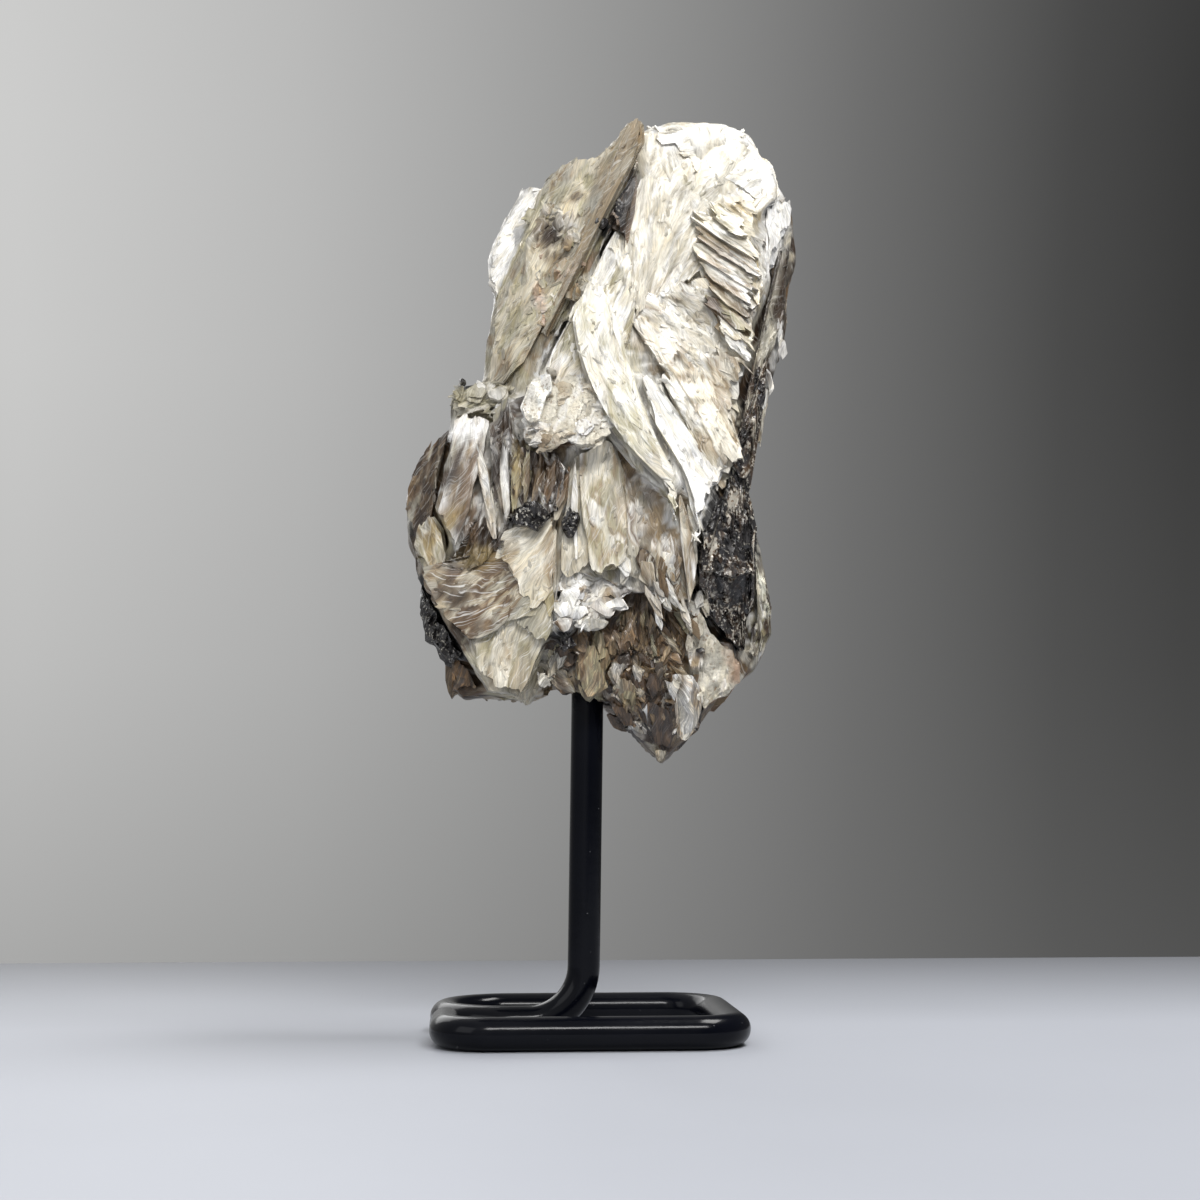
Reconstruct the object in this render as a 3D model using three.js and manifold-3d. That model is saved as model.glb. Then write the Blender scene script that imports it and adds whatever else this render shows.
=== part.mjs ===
// A natural mica specimen on a display stand that is bent from one black rod.
// Millimetres, +Z up, with the table at z = 0. +X is to a viewer's right and -Y is towards the viewer.
// Everything is laid out from the point under the stand's cross arm, midway between the sides of the foot.
// The finished object is then moved so that its origin is on the table under the middle of its box.
import * as THREE from "three";
import { mergeVertices } from "three/addons/utils/BufferGeometryUtils.js";
import Module from "manifold-3d";

// The stand's rod and the loop that it makes on the table, measured between centre lines.
const rodDiameter = 6.35;
const rodSides = 16;
const loopWidth = 54.8;
const frontReach = 20.5; // from the cross arm forward to the front of the loop
const backReach = 26.5; // from the cross arm back to the rear of the loop
const frontCornerRadius = 8.2;
const backCornerRadius = 10.4;
const freeEndY = -0.5; // where the rod's cut end stops, just short of the U-turn
const uprightBendRadius = 11;
const uprightX = -0.7; // where the upright's axis would meet the table
const uprightLean = 0.013; // radians towards +X
const rodTop = 84; // the rod's other end, inside the rock

// The rock sits a few degrees round from the foot, on a blind hole drilled up into it.
const rockTurn = -4.07;
const holeClearance = 0.3;
const bookBevel = 1.2;
const faceHeight = 120; // the height at which each book's depth is given

const wasm = await Module();
wasm.setup();

// A path through given stations, with one extrusion step between each two.
class StationPath extends THREE.Curve {
  constructor(stations) {
    super();
    this.stations = stations;
  }

  getUtoTmapping(u) {
    return u;
  }

  getPoint(t, target = new THREE.Vector3()) {
    const place = t * (this.stations.length - 1);
    const index = Math.min(Math.floor(place), this.stations.length - 2);
    return target.lerpVectors(this.stations[index], this.stations[index + 1], place - index);
  }
}

// Points on a level arc round a centre, from one angle to another in degrees.
function levelArc(centreX, centreY, radius, from, to, steps) {
  const points = [];
  for (let i = 0; i <= steps; i++) {
    const angle = THREE.MathUtils.degToRad(from + ((to - from) * i) / steps);
    const x = centreX + radius * Math.cos(angle);
    const y = centreY + radius * Math.sin(angle);
    points.push(new THREE.Vector3(x, y, rodDiameter / 2));
  }
  return points;
}

// The rod's centre line: from its cut end round the foot, along the cross arm and up to the rock.
function rodStations() {
  const side = loopWidth / 2;
  const frontX = side - frontCornerRadius;
  const frontY = frontCornerRadius - frontReach;
  const backX = side - backCornerRadius;
  const backY = backReach - backCornerRadius;
  const turnRadius = backReach / 2;
  const stations = [new THREE.Vector3(-side, freeEndY, rodDiameter / 2)];
  stations.push(...levelArc(-frontX, frontY, frontCornerRadius, 180, 270, 7));
  stations.push(...levelArc(frontX, frontY, frontCornerRadius, 270, 360, 7));
  stations.push(...levelArc(backX, backY, backCornerRadius, 0, 90, 7));
  stations.push(...levelArc(turnRadius - side, turnRadius, turnRadius, 90, 270, 14));

  // The bend that lifts the cross arm into the upright.
  const bendSteps = 8;
  const bendEnd = Math.PI / 2 - uprightLean;
  const bendTop = rodDiameter / 2 + uprightBendRadius * (1 - Math.cos(bendEnd));
  const bendX = uprightX + uprightLean * bendTop - uprightBendRadius * Math.sin(bendEnd);
  for (let i = 0; i <= bendSteps; i++) {
    const angle = (bendEnd * i) / bendSteps;
    const x = bendX + uprightBendRadius * Math.sin(angle);
    const z = rodDiameter / 2 + uprightBendRadius * (1 - Math.cos(angle));
    stations.push(new THREE.Vector3(x, 0, z));
  }
  stations.push(new THREE.Vector3(uprightX + uprightLean * rodTop, 0, rodTop));
  return stations;
}

// A polygon whose flats, not its corners, are the given diameter apart, with flats facing up and down.
function rodSection(diameter) {
  const section = new THREE.Shape();
  const corner = diameter / 2 / Math.cos(Math.PI / rodSides);
  for (let i = 0; i < rodSides; i++) {
    const angle = ((i + 0.5) * 2 * Math.PI) / rodSides;
    const x = corner * Math.cos(angle);
    const y = corner * Math.sin(angle);
    if (i === 0) section.moveTo(x, y);
    else section.lineTo(x, y);
  }
  section.closePath();
  return section;
}

function rodGeometry(stations, diameter) {
  const path = new StationPath(stations);
  return new THREE.ExtrudeGeometry(rodSection(diameter), {
    steps: stations.length - 1,
    extrudePath: path,
    bevelEnabled: false,
  });
}

// Mica grows as books: slabs of thin sheets, each book with its own plane. An outline is the book seen from
// the front, as [x, z]. depth is its front face's y at x = 0 and z = faceHeight, right and up are how much y
// grows for each millimetre to the right and upwards, and thick is the book's thickness along y.
const books = {
  crown: {
    outline: [
      [10, 181], [16, 183], [28, 183.5], [33.5, 181],
      [39, 173], [40, 166], [30, 158], [12, 156],
    ],
    depth: -16.6, right: 0.1, up: 0.15, thick: 21,
  },
  shoulder: {
    outline: [
      [8, 158], [12, 166], [30, 168], [38, 162], [38, 150], [33, 135],
      [30, 122], [16, 120], [5, 134], [2, 148],
    ],
    depth: -14.4, right: 0.12, up: 0.12, thick: 27,
  },
  rightEdge: {
    outline: [
      [39, 175], [44, 167], [44, 156], [41, 149], [42, 145], [41, 138],
      [32, 113], [28, 120], [33, 150],
    ],
    depth: -41.5, right: 1.05, up: 0.05, thick: 17,
  },
  leftSlab: {
    outline: [
      [8, 182.5], [11.5, 180], [11, 171], [5, 157], [-4, 140], [-9, 130], [-18, 125], [-22.5, 132],
      [-20.5, 150], [-15, 164], [-8, 173], [0, 175],
    ],
    depth: -17.3, right: -0.85, up: 0.25, thick: 14,
  },
  outerLeaf: {
    outline: [[-9, 173.5], [-14.5, 173.5], [-19, 165], [-21.5, 152], [-18, 147], [-11, 160]],
    depth: 9.6, right: 0.3, up: 0.1, thick: 4,
  },
  leftTips: {
    outline: [[-28.5, 129], [-25, 131], [-18, 132], [-16, 124], [-24, 119], [-28.5, 121]],
    depth: -7.7, right: -0.3, up: 0.1, thick: 9,
  },
  curledPlate: {
    outline: [[-28, 121], [-22, 124], [-18.5, 120], [-20, 100], [-26, 92], [-30.5, 103]],
    depth: -12.7, right: -0.3, up: 0.25, thick: 12,
  },
  leftBook: {
    outline: [[-26, 122], [-32, 118], [-37.5, 109], [-38, 103], [-35, 90], [-28, 84], [-22, 96]],
    depth: -24.4, right: -0.8, up: 0.1, thick: 16,
  },
  plumeSheet: {
    outline: [
      [-35, 95], [-26, 96], [-12, 98], [-3, 100], [-5, 80], [-10, 71], [-12.5, 65],
      [-20, 66], [-24, 73], [-31, 84],
    ],
    depth: -12.7, right: -0.25, up: 0.1, thick: 21,
  },
  darkRibs: {
    outline: [[-18, 126], [-15, 128], [-12, 118], [-4, 111], [-4, 102], [-17, 96], [-21, 104]],
    depth: -15.1, right: -0.35, up: 0.1, thick: 20,
  },
  crust: {
    outline: [[-13, 127], [-10, 129.5], [-2, 130.5], [4, 128], [4, 117], [0, 113], [-10, 113.5]],
    depth: -16.9, right: -0.1, up: 0.3, thick: 16,
  },
  centre: {
    outline: [[-6, 116], [3, 119], [14, 108], [20, 96], [21, 84], [8, 85], [-6, 91]],
    depth: -12.4, right: 0.05, up: 0.08, thick: 27,
  },
  leftBlade: {
    outline: [[-3, 143], [1, 147], [8, 134], [14, 116], [17, 107], [17, 102], [9, 109], [2, 123]],
    depth: -18.4, right: 0.2, up: 0.2, thick: 9,
  },
  rightBlade: {
    outline: [[10, 130], [14, 131], [23, 117], [28.5, 103], [23, 94], [17, 107]],
    depth: -20.3, right: 0.35, up: 0.2, thick: 9,
  },
  waist: {
    outline: [[14, 128], [32, 130], [31, 114], [30, 98], [20, 92], [12, 106]],
    depth: -15, right: 0.2, up: 0.1, thick: 24,
  },
  silverFlakes: {
    outline: [[-7, 91], [6, 91.5], [6, 85], [-4, 75], [-8, 79]],
    depth: -0.5, right: 0.1, up: 0.3, thick: 14,
  },
  brownFlakes: {
    outline: [[-8, 88], [22, 90], [23, 70], [19, 62], [8, 61], [0, 66], [-8, 68]],
    depth: -13.5, right: 0.1, up: -0.1, thick: 25,
  },
  bottomTip: {
    outline: [[4, 72], [23, 72], [24, 62], [17, 54.5], [15, 52.5], [12.5, 55], [5, 62]],
    depth: -21.9, right: 0.1, up: -0.3, thick: 15,
  },
  lowerRight: {
    outline: [[19, 82], [30, 78], [30.5, 70], [24, 62.5], [19, 68]],
    depth: -20.9, right: 0.4, up: -0.1, thick: 18,
  },
  tourmalineFlank: {
    outline: [
      [30, 120], [33.5, 106], [37.5, 94], [39, 80], [35, 72], [29, 67],
      [23, 70], [22, 92], [26, 108],
    ],
    depth: -27.7, right: 0.9, up: 0, thick: 20,
  },
  tourmalineKnob: {
    outline: [[-32, 91], [-26, 80], [-23, 72], [-28, 72.5], [-33, 79], [-34.5, 87]],
    depth: -6, right: -0.4, up: 0.2, thick: 13,
  },
  lowerLeftTail: {
    outline: [[-28, 78], [-18, 76], [-20, 66], [-25, 65.5], [-28, 68]],
    depth: -7, right: -0.2, up: 0, thick: 12,
  },
  backSlab: {
    outline: [
      [-14, 160], [-4, 173], [12, 179], [28, 177], [38, 160], [38, 138],
      [30, 112], [4, 108], [-14, 126],
    ],
    depth: -4, right: 0.05, up: 0.1, thick: 21,
  },
  backFin: {
    outline: [[0, 150], [12, 162], [24, 146], [22, 120], [10, 102], [1, 118]],
    depth: 12, right: 0.15, up: 0.05, thick: 8,
  },
  backBook: {
    outline: [
      [-26, 116], [-10, 128], [16, 122], [31, 108], [32, 88], [26, 74],
      [6, 68], [-20, 72], [-30, 94],
    ],
    depth: 2, right: -0.08, up: 0, thick: 17,
  },
  backLeftBook: {
    outline: [[-31, 110], [-17, 124], [-8, 112], [-10, 82], [-24, 76], [-33, 92]],
    depth: -10, right: -0.4, up: 0, thick: 16,
  },
};

// Stepped ribs run down to the right across the shoulder, each with its lower edge proud like a shingle.
const ribCount = 7;
const ribWidth = 2.6;
const ribThickness = 4;
const ribLift = 0.4; // how far its upper edge stands out of the shoulder's face
const ribProud = 0.35; // how much further forward the face comes per millimetre across the rib
const ribFall = THREE.MathUtils.degToRad(-36);
const ribStart = new THREE.Vector2(20, 164.5);
const ribStep = new THREE.Vector2(0.6, -3.6); // from each rib to the next
const ribLength = 18;
const ribShorter = 0.9;
for (let i = 0; i < ribCount; i++) {
  const { depth, right, up } = books.shoulder;
  const along = new THREE.Vector2(Math.cos(ribFall), Math.sin(ribFall));
  const across = new THREE.Vector2(along.y, -along.x);
  const start = ribStart.clone().addScaledVector(ribStep, i);
  const end = start.clone().addScaledVector(along, ribLength - ribShorter * i);
  const top = [start, end];
  const bottom = [end, start].map((corner) => corner.clone().addScaledVector(across, ribWidth));
  const ribRight = right - ribProud * across.x;
  const ribUp = up - ribProud * across.y;
  books["rib" + i] = {
    outline: [...top, ...bottom].map((corner) => corner.toArray()),
    depth: depth + (right - ribRight) * start.x + (up - ribUp) * (start.y - faceHeight) - ribLift,
    right: ribRight,
    up: ribUp,
    thick: ribThickness,
  };
}

// A closed geometry as a manifold solid.
function solidOf(geometry) {
  const bare = geometry.clone();
  bare.deleteAttribute("normal");
  bare.deleteAttribute("uv");
  const merged = mergeVertices(bare, 1e-4);
  const vertProperties = merged.attributes.position.array;
  const triVerts = new Uint32Array(merged.index.array);
  return new wasm.Manifold(new wasm.Mesh({ numProp: 3, vertProperties, triVerts }));
}

// A manifold solid as a geometry to draw.
function geometryOf(solid) {
  const mesh = solid.getMesh();
  const geometry = new THREE.BufferGeometry();
  geometry.setAttribute("position", new THREE.BufferAttribute(mesh.vertProperties, 3));
  geometry.setIndex(new THREE.BufferAttribute(mesh.triVerts, 1));
  geometry.computeVertexNormals();
  return geometry;
}

// One book: its outline extruded from back to front with bevelled rims, then sheared on to its own plane.
function bookSolid({ outline, depth, right, up, thick }) {
  const shape = new THREE.Shape(outline.map(([x, z]) => new THREE.Vector2(x, z)));
  const slab = new THREE.ExtrudeGeometry(shape, {
    depth: thick - 2 * bookBevel,
    bevelThickness: bookBevel,
    bevelSize: bookBevel,
    bevelOffset: -bookBevel,
    bevelSegments: 1,
  });
  const plane = new THREE.Matrix4().makeBasis(
    new THREE.Vector3(1, right, 0),
    new THREE.Vector3(0, up, 1),
    new THREE.Vector3(0, -1, 0),
  );
  plane.setPosition(0, depth - up * faceHeight + thick - bookBevel, 0);
  slab.applyMatrix4(plane);
  slab.rotateZ(THREE.MathUtils.degToRad(rockTurn));
  return solidOf(slab);
}

function rockSolid() {
  const whole = Object.values(books)
    .map(bookSolid)
    .reduce((rock, book) => rock.add(book));
  const holeBottom = 30; // below the rock, so that the hole is open
  const drillPath = [holeBottom, rodTop + holeClearance].map(
    (z) => new THREE.Vector3(uprightX + uprightLean * z, 0, z),
  );
  const drill = solidOf(rodGeometry(drillPath, rodDiameter + 2 * holeClearance));
  return whole.subtract(drill);
}

function addPart(group, name, geometry, colour, roughness, metalness) {
  const material = new THREE.MeshStandardMaterial({ color: colour, roughness, metalness });
  const mesh = new THREE.Mesh(geometry, material);
  mesh.name = name;
  group.add(mesh);
}

const group = new THREE.Group();
addPart(group, "stand_rod", rodGeometry(rodStations(), rodDiameter), 0x0c0d10, 0.25, 0);
addPart(group, "mica_rock", geometryOf(rockSolid()), 0xb5a78a, 0.4, 0.1);

const box = new THREE.Box3().setFromObject(group);
const middle = box.getCenter(new THREE.Vector3());
group.position.set(-middle.x, -middle.y, -box.min.z);

export default group;
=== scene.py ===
import math

import bmesh
import bpy
import numpy as np
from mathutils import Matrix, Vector
from mathutils.kdtree import KDTree


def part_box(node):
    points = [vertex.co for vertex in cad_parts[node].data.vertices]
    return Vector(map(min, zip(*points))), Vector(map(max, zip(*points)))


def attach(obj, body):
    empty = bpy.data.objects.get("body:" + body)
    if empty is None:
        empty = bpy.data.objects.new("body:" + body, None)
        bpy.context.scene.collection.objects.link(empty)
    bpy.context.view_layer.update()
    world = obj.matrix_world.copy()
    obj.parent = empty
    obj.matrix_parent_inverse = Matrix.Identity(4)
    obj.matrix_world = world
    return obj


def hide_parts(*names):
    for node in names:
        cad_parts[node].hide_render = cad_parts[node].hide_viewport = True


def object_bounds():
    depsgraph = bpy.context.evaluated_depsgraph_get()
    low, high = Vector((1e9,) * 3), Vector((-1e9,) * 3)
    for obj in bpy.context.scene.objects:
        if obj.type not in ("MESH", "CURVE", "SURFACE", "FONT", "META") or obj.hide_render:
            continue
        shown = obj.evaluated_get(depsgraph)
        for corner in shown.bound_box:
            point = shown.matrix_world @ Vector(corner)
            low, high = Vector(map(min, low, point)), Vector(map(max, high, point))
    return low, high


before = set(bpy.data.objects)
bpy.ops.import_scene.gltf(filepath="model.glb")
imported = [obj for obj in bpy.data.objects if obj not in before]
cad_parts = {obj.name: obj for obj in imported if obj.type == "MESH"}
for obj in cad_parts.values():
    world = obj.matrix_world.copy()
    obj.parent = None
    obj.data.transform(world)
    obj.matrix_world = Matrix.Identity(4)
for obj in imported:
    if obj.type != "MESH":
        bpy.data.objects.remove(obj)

cadLow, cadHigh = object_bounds()

# The rock is laid out in millimetres in its own frame: x to the right, z up, y away from the viewer. That
# frame stands over the stand's cross arm and is turned a few degrees from the foot.
layout = {
    "rockTurn": math.radians(-4.07),
    "faceHeight": 120.0,  # the height at which a book's depth is given
    "frontReach": 0.0205,  # from the cross arm forward to the front of the foot
    "rodRadius": 0.003175,
    "margin": 0.0001,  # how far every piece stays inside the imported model's box
}
standLow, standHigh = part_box("stand_rod")
armX = (standLow.x + standHigh.x) / 2
armY = standLow.y + layout["frontReach"] + layout["rodRadius"]
turnCos, turnSin = math.cos(layout["rockTurn"]), math.sin(layout["rockTurn"])


def toRow(points):
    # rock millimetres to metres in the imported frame
    points = np.asarray(points, float)
    x = points[:, 0] * turnCos - points[:, 1] * turnSin
    y = points[:, 0] * turnSin + points[:, 1] * turnCos
    return np.column_stack([x * 0.001 + armX, y * 0.001 + armY, points[:, 2] * 0.001])


def fromRow(points):
    x, y = (points[:, 0] - armX) * 1000, (points[:, 1] - armY) * 1000
    return np.column_stack([x * turnCos + y * turnSin, -x * turnSin + y * turnCos, points[:, 2] * 1000])


# seeded smooth noise on arrays, from -1 to 1
noiseTable = np.random.default_rng(11).random((256, 256)) * 2 - 1


def smoothNoise(x, y, seed=0, octaves=1):
    total = np.zeros(np.broadcast(x, y).shape)
    for octave in range(octaves):
        scale = 2.0 ** octave
        u = np.asarray(x) * scale + 37.7 * seed + 11.3 * octave
        v = np.asarray(y) * scale + 91.1 * seed + 5.9 * octave
        i, j = np.floor(u).astype(int), np.floor(v).astype(int)
        fu, fv = u - i, v - j
        fu, fv = fu * fu * (3 - 2 * fu), fv * fv * (3 - 2 * fv)
        a, b = noiseTable[i & 255, j & 255], noiseTable[(i + 1) & 255, j & 255]
        c, d = noiseTable[i & 255, (j + 1) & 255], noiseTable[(i + 1) & 255, (j + 1) & 255]
        total += ((a * (1 - fu) + b * fu) * (1 - fv) + (c * (1 - fu) + d * fu) * fv) / scale
    return total / (2 - 2.0 ** (1 - octaves))


# colours of the rock, linear; white also paints highlights on some plates, and dark and black the shade in
# a recess
palette = {
    "white": (0.96, 0.95, 0.93),
    "silver": (0.88, 0.86, 0.81),
    "cream": (0.84, 0.79, 0.67),
    "beige": (0.66, 0.60, 0.47),
    "grey": (0.50, 0.47, 0.39),
    "olive": (0.46, 0.42, 0.27),
    "golden": (0.52, 0.39, 0.17),
    "tan": (0.36, 0.27, 0.165),
    "brown": (0.155, 0.092, 0.043),
    "dark": (0.05, 0.03, 0.017),
    "black": (0.016, 0.014, 0.014),
    "pink": (0.72, 0.52, 0.40),
    "rust": (0.38, 0.17, 0.07),
}

# natural stains on the front, and painted highlights: centre x and z, half sizes, turn in degrees, colour,
# strength
# the white ones at the curled leaf's bend and streak, along the dark ribs and on the right edge's patch are
# painted highlights
stainsAndHighlights = [
    (-9, 158.5, 1.6, 3.2, 20, "tan", 0.7), (-7.4, 165.8, 2.2, 1.7, 0, "silver", 0.75),
    (-2.6, 160.4, 1.6, 3, 10, "silver", 0.8), (-5.2, 168.6, 3.8, 2.6, 20, "olive", 0.6),
    (-4.6, 153.8, 3.6, 1.8, -20, "tan", 0.8), (-3, 150.3, 2.2, 2, 0, "pink", 0.6),
    (-9.4, 146.6, 1.3, 3.6, 15, "pink", 0.7), (-8, 148, 1.6, 1.2, 0, "golden", 0.5),
    (-12, 141, 2.4, 4, 20, "olive", 0.4), (-17.3, 133, 2, 4, 20, "brown", 0.45),
    (-11, 133, 2.2, 3, 10, "tan", 0.5), (-2, 135.5, 2.4, 4.4, 0, "olive", 0.8),
    (-6, 129.5, 2.6, 2.6, 0, "tan", 0.5), (16.5, 168.5, 2.6, 1.8, 0, "beige", 0.6),
    (14, 158, 2.2, 5, -10, "beige", 0.55), (20.5, 169, 6, 0.7, -38, "olive", 0.7),
    (31, 164, 3.2, 2.2, -30, "golden", 0.45), (11, 137, 3, 5, 10, "tan", 0.55),
    (18, 134, 2, 4, -30, "tan", 0.45), (22, 141, 2.5, 1.2, 20, "golden", 0.4),
    (31.5, 138.5, 1.2, 5, 50, "olive", 0.75), (27.5, 126.5, 2.5, 1.2, 20, "tan", 0.4),
    (14.5, 148, 1.2, 3.5, -40, "tan", 0.4), (-6, 121, 5, 4, 20, "cream", 0.35),
    (-9, 116.5, 3.5, 2, 0, "tan", 0.45), (-25.2, 85.4, 4.6, 3.2, -20, "dark", 0.8),
    (-20.5, 81, 3, 2.4, -20, "brown", 0.6), (-26, 92.6, 3.4, 2.4, 0, "dark", 0.8),
    (-21, 93.6, 4.6, 2.4, 0, "golden", 0.6), (-29.5, 90, 1.6, 3, -20, "tan", 0.5),
    (-10.5, 84, 3, 6, -15, "olive", 0.35), (-12.5, 71, 3, 5, 15, "tan", 0.3),
    (-22.8, 119.5, 5, 3.6, 0, "white", 0.9), (-28.4, 104.8, 1.6, 3.8, -30, "white", 0.9),
    (-24, 110, 4.8, 3.4, 35, "dark", 0.75), (-22.8, 103.5, 1.8, 5.4, -15, "brown", 0.9),
    (-26, 101.2, 1.3, 3.8, -25, "golden", 1), (-24.9, 98.4, 1, 3, -20, "dark", 0.8),
    (-17.2, 115, 2.4, 7, -6, "dark", 0.8), (-13.4, 110, 1.2, 5, 0, "golden", 0.8),
    (-8.2, 110.5, 2.6, 4, 0, "brown", 0.65), (-17.8, 103, 2, 5, 0, "cream", 0.6),
    (-20, 108, 0.8, 9, -3, "silver", 0.7), (3.6, 97, 1.6, 5, 0, "olive", 0.6),
    (6.6, 103, 1.4, 5, 0, "tan", 0.6), (12, 98, 2.4, 5, 0, "tan", 0.6),
    (28, 153, 5, 0.8, -36, "brown", 0.6), (30, 146, 5, 1.2, -42, "brown", 0.7),
    (15.5, 163, 3, 7, 0, "beige", 0.5), (29.8, 71.5, 2, 5, 20, "rust", 0.6),
    (23, 74.5, 1.4, 1, 0, "brown", 0.8), (-8, 156.6, 1.8, 2, 20, "tan", 0.6),
    (-6.8, 160.6, 2.4, 3.8, 5, "dark", 1), (-2.8, 167.2, 2.2, 1.4, 10, "brown", 0.7),
    (9.5, 86, 4.5, 3.6, 0, "dark", 0.75), (40.4, 152, 3.4, 11, -10, "dark", 0.85),
    (38.6, 162.5, 3.6, 6.4, -10, "white", 1), (37.2, 133.5, 1.5, 8, -20, "dark", 0.9),
    (-25.8, 111.5, 0.9, 5, -20, "dark", 1), (-22.6, 110.5, 0.8, 5.5, -18, "brown", 1),
    (-24.4, 106, 0.9, 4, -18, "brown", 1), (-19, 113, 0.7, 8, -4, "white", 0.9),
    (-15.7, 112, 0.6, 6, -4, "white", 0.8), (4, 172, 2, 6, -28, "tan", 0.5),
    (25.5, 172.5, 5.5, 3, -30, "cream", 0.75), (33, 170.5, 4, 2, -50, "cream", 0.6),
    (24.5, 176.5, 3.6, 1, -20, "beige", 0.5), (-23, 98.5, 2, 4.6, -15, "brown", 0.8),
    (-24.6, 104, 3.2, 7.4, -20, "brown", 0.45), (-32.4, 106, 3.2, 9, -10, "dark", 0.45),
]


def paletteMix(names, pick):
    # pick runs from 0 to 1 along the named colours
    colours = np.array([palette[name] for name in names.split()])
    place = np.clip(pick, 0, 0.9999) * (len(colours) - 1)
    low = place.astype(int)
    part = (place - low)[:, None]
    return colours[low] * (1 - part) + colours[np.minimum(low + 1, len(colours) - 1)] * part


def addStainsAndHighlights(tint, x, z, seed):
    # lays the listed stains, and the painted highlights among them, over the colours
    wobble = smoothNoise(x * 0.5, z * 0.5, seed + 60, 3)
    for centreX, centreZ, halfX, halfZ, turn, colour, strength in stainsAndHighlights:
        a = math.radians(turn)
        u = ((x - centreX) * math.cos(a) + (z - centreZ) * math.sin(a)) / halfX
        v = (-(x - centreX) * math.sin(a) + (z - centreZ) * math.cos(a)) / halfZ
        share = np.clip(1.25 - np.hypot(u, v) + 0.7 * wobble, 0, 1)[:, None] * strength
        tint = tint * (1 - share) + np.array(palette[colour]) * share
    return tint


def addObject(name, data):
    made = bpy.data.objects.new(name, data)
    bpy.context.scene.collection.objects.link(made)
    return made


# short ways to add nodes to a tree
class Nodes:
    def __init__(self, tree):
        self.tree = tree

    def plug(self, value, socket):
        # links another node's socket, or sets a plain value
        if isinstance(value, bpy.types.NodeSocket):
            self.tree.links.new(value, socket)
        else:
            socket.default_value = value

    def add(self, kind, inputs=None, **settings):
        made = self.tree.nodes.new(kind)
        for key, value in settings.items():
            setattr(made, key, value)
        for key, value in (inputs or {}).items():
            self.plug(value, made.inputs[key])
        return made

    def maths(self, operation, a, b=0.0):
        return self.add("ShaderNodeMath", {0: a, 1: b}, operation=operation).outputs[0]

    def vectors(self, operation, a, b, c=None):
        inputs = {0: a, "Scale" if operation == "SCALE" else 1: b}
        if c:
            inputs[2] = c
        made = self.add("ShaderNodeVectorMath", inputs, operation=operation)
        return made.outputs["Value" if operation == "DOT_PRODUCT" else "Vector"]

    def noise(self, vector, scale=1.0, detail=2.0, roughness=0.5, distortion=0.0, output="Fac"):
        inputs = {"Vector": vector, "Scale": scale, "Detail": detail, "Roughness": roughness}
        return self.add("ShaderNodeTexNoise", {**inputs, "Distortion": distortion}).outputs[output]

    def ramp(self, factor, *stops):
        # each stop is a position and a grey or a colour
        made = self.add("ShaderNodeValToRGB", {"Fac": factor})
        elements = made.color_ramp.elements
        while len(elements) < len(stops):
            elements.new(0.5)
        for element, (position, shade) in zip(elements, stops):
            element.position = position
            element.color = (*shade, 1) if isinstance(shade, tuple) else (shade, shade, shade, 1)
        return made.outputs["Color"]

    def mix(self, factor, a, b, blend="MIX"):
        made = self.add("ShaderNodeMix", data_type="RGBA", blend_type=blend)
        for index, value in ((0, factor), (6, a), (7, b)):
            self.plug((*value, 1) if isinstance(value, (tuple, list)) else value, made.inputs[index])
        return made.outputs[2]

    def multiply(self, a, b):
        return self.mix(1.0, a, b, "MULTIPLY")

    def scaled(self, vector, scale, offset=(0, 0, 0)):
        inputs = {"Vector": vector, "Scale": scale, "Location": offset}
        return self.add("ShaderNodeMapping", inputs).outputs["Vector"]

    def turned(self, vector, angle):
        inputs = {"Vector": vector, "Axis": (0, 0, 1), "Angle": angle}
        return self.add("ShaderNodeVectorRotate", inputs, rotation_type="AXIS_ANGLE").outputs["Vector"]

    def bump(self, height, distance, normal=None, strength=1.0):
        inputs = {"Height": height, "Strength": strength, "Distance": distance}
        if normal:
            inputs["Normal"] = normal
        return self.add("ShaderNodeBump", inputs).outputs["Normal"]


class Finish(Nodes):
    # a material in the making
    def __init__(self, name):
        self.material = bpy.data.materials.new(name)
        self.material.use_nodes = True
        super().__init__(self.material.node_tree)

    def attribute(self, name, output="Vector"):
        return self.add("ShaderNodeAttribute", attribute_name=name).outputs[output]

    def place(self):
        return self.add("ShaderNodeTexCoord").outputs["Object"]

    def flakes(self, vector, along, across, turn):
        # overlapping flakes: each cell turns its fibres a little and has a shade and a slant of its own
        cellSpace = self.scaled(vector, (1 / along, 1 / across, 0.5))
        inputs = {"Vector": cellSpace, "Scale": 1.0, "Randomness": 1.0}
        cells = self.add("ShaderNodeTexVoronoi", inputs).outputs
        inside = self.vectors("SUBTRACT", cellSpace, cells["Position"])
        slant = self.vectors("SUBTRACT", cells["Color"], (0.5, 0.5, 0.5))
        shares = self.add("ShaderNodeSeparateColor", {"Color": cells["Color"]}).outputs
        angle = self.maths("MULTIPLY", self.maths("SUBTRACT", shares["Red"], 0.5), turn)
        return self.turned(vector, angle), shares["Green"], self.vectors("DOT_PRODUCT", inside, slant)

    def surface(self, sockets):
        shader = self.tree.nodes["Principled BSDF"]
        for name, value in sockets.items():
            self.plug(value, shader.inputs[name])
        return self.material


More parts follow.
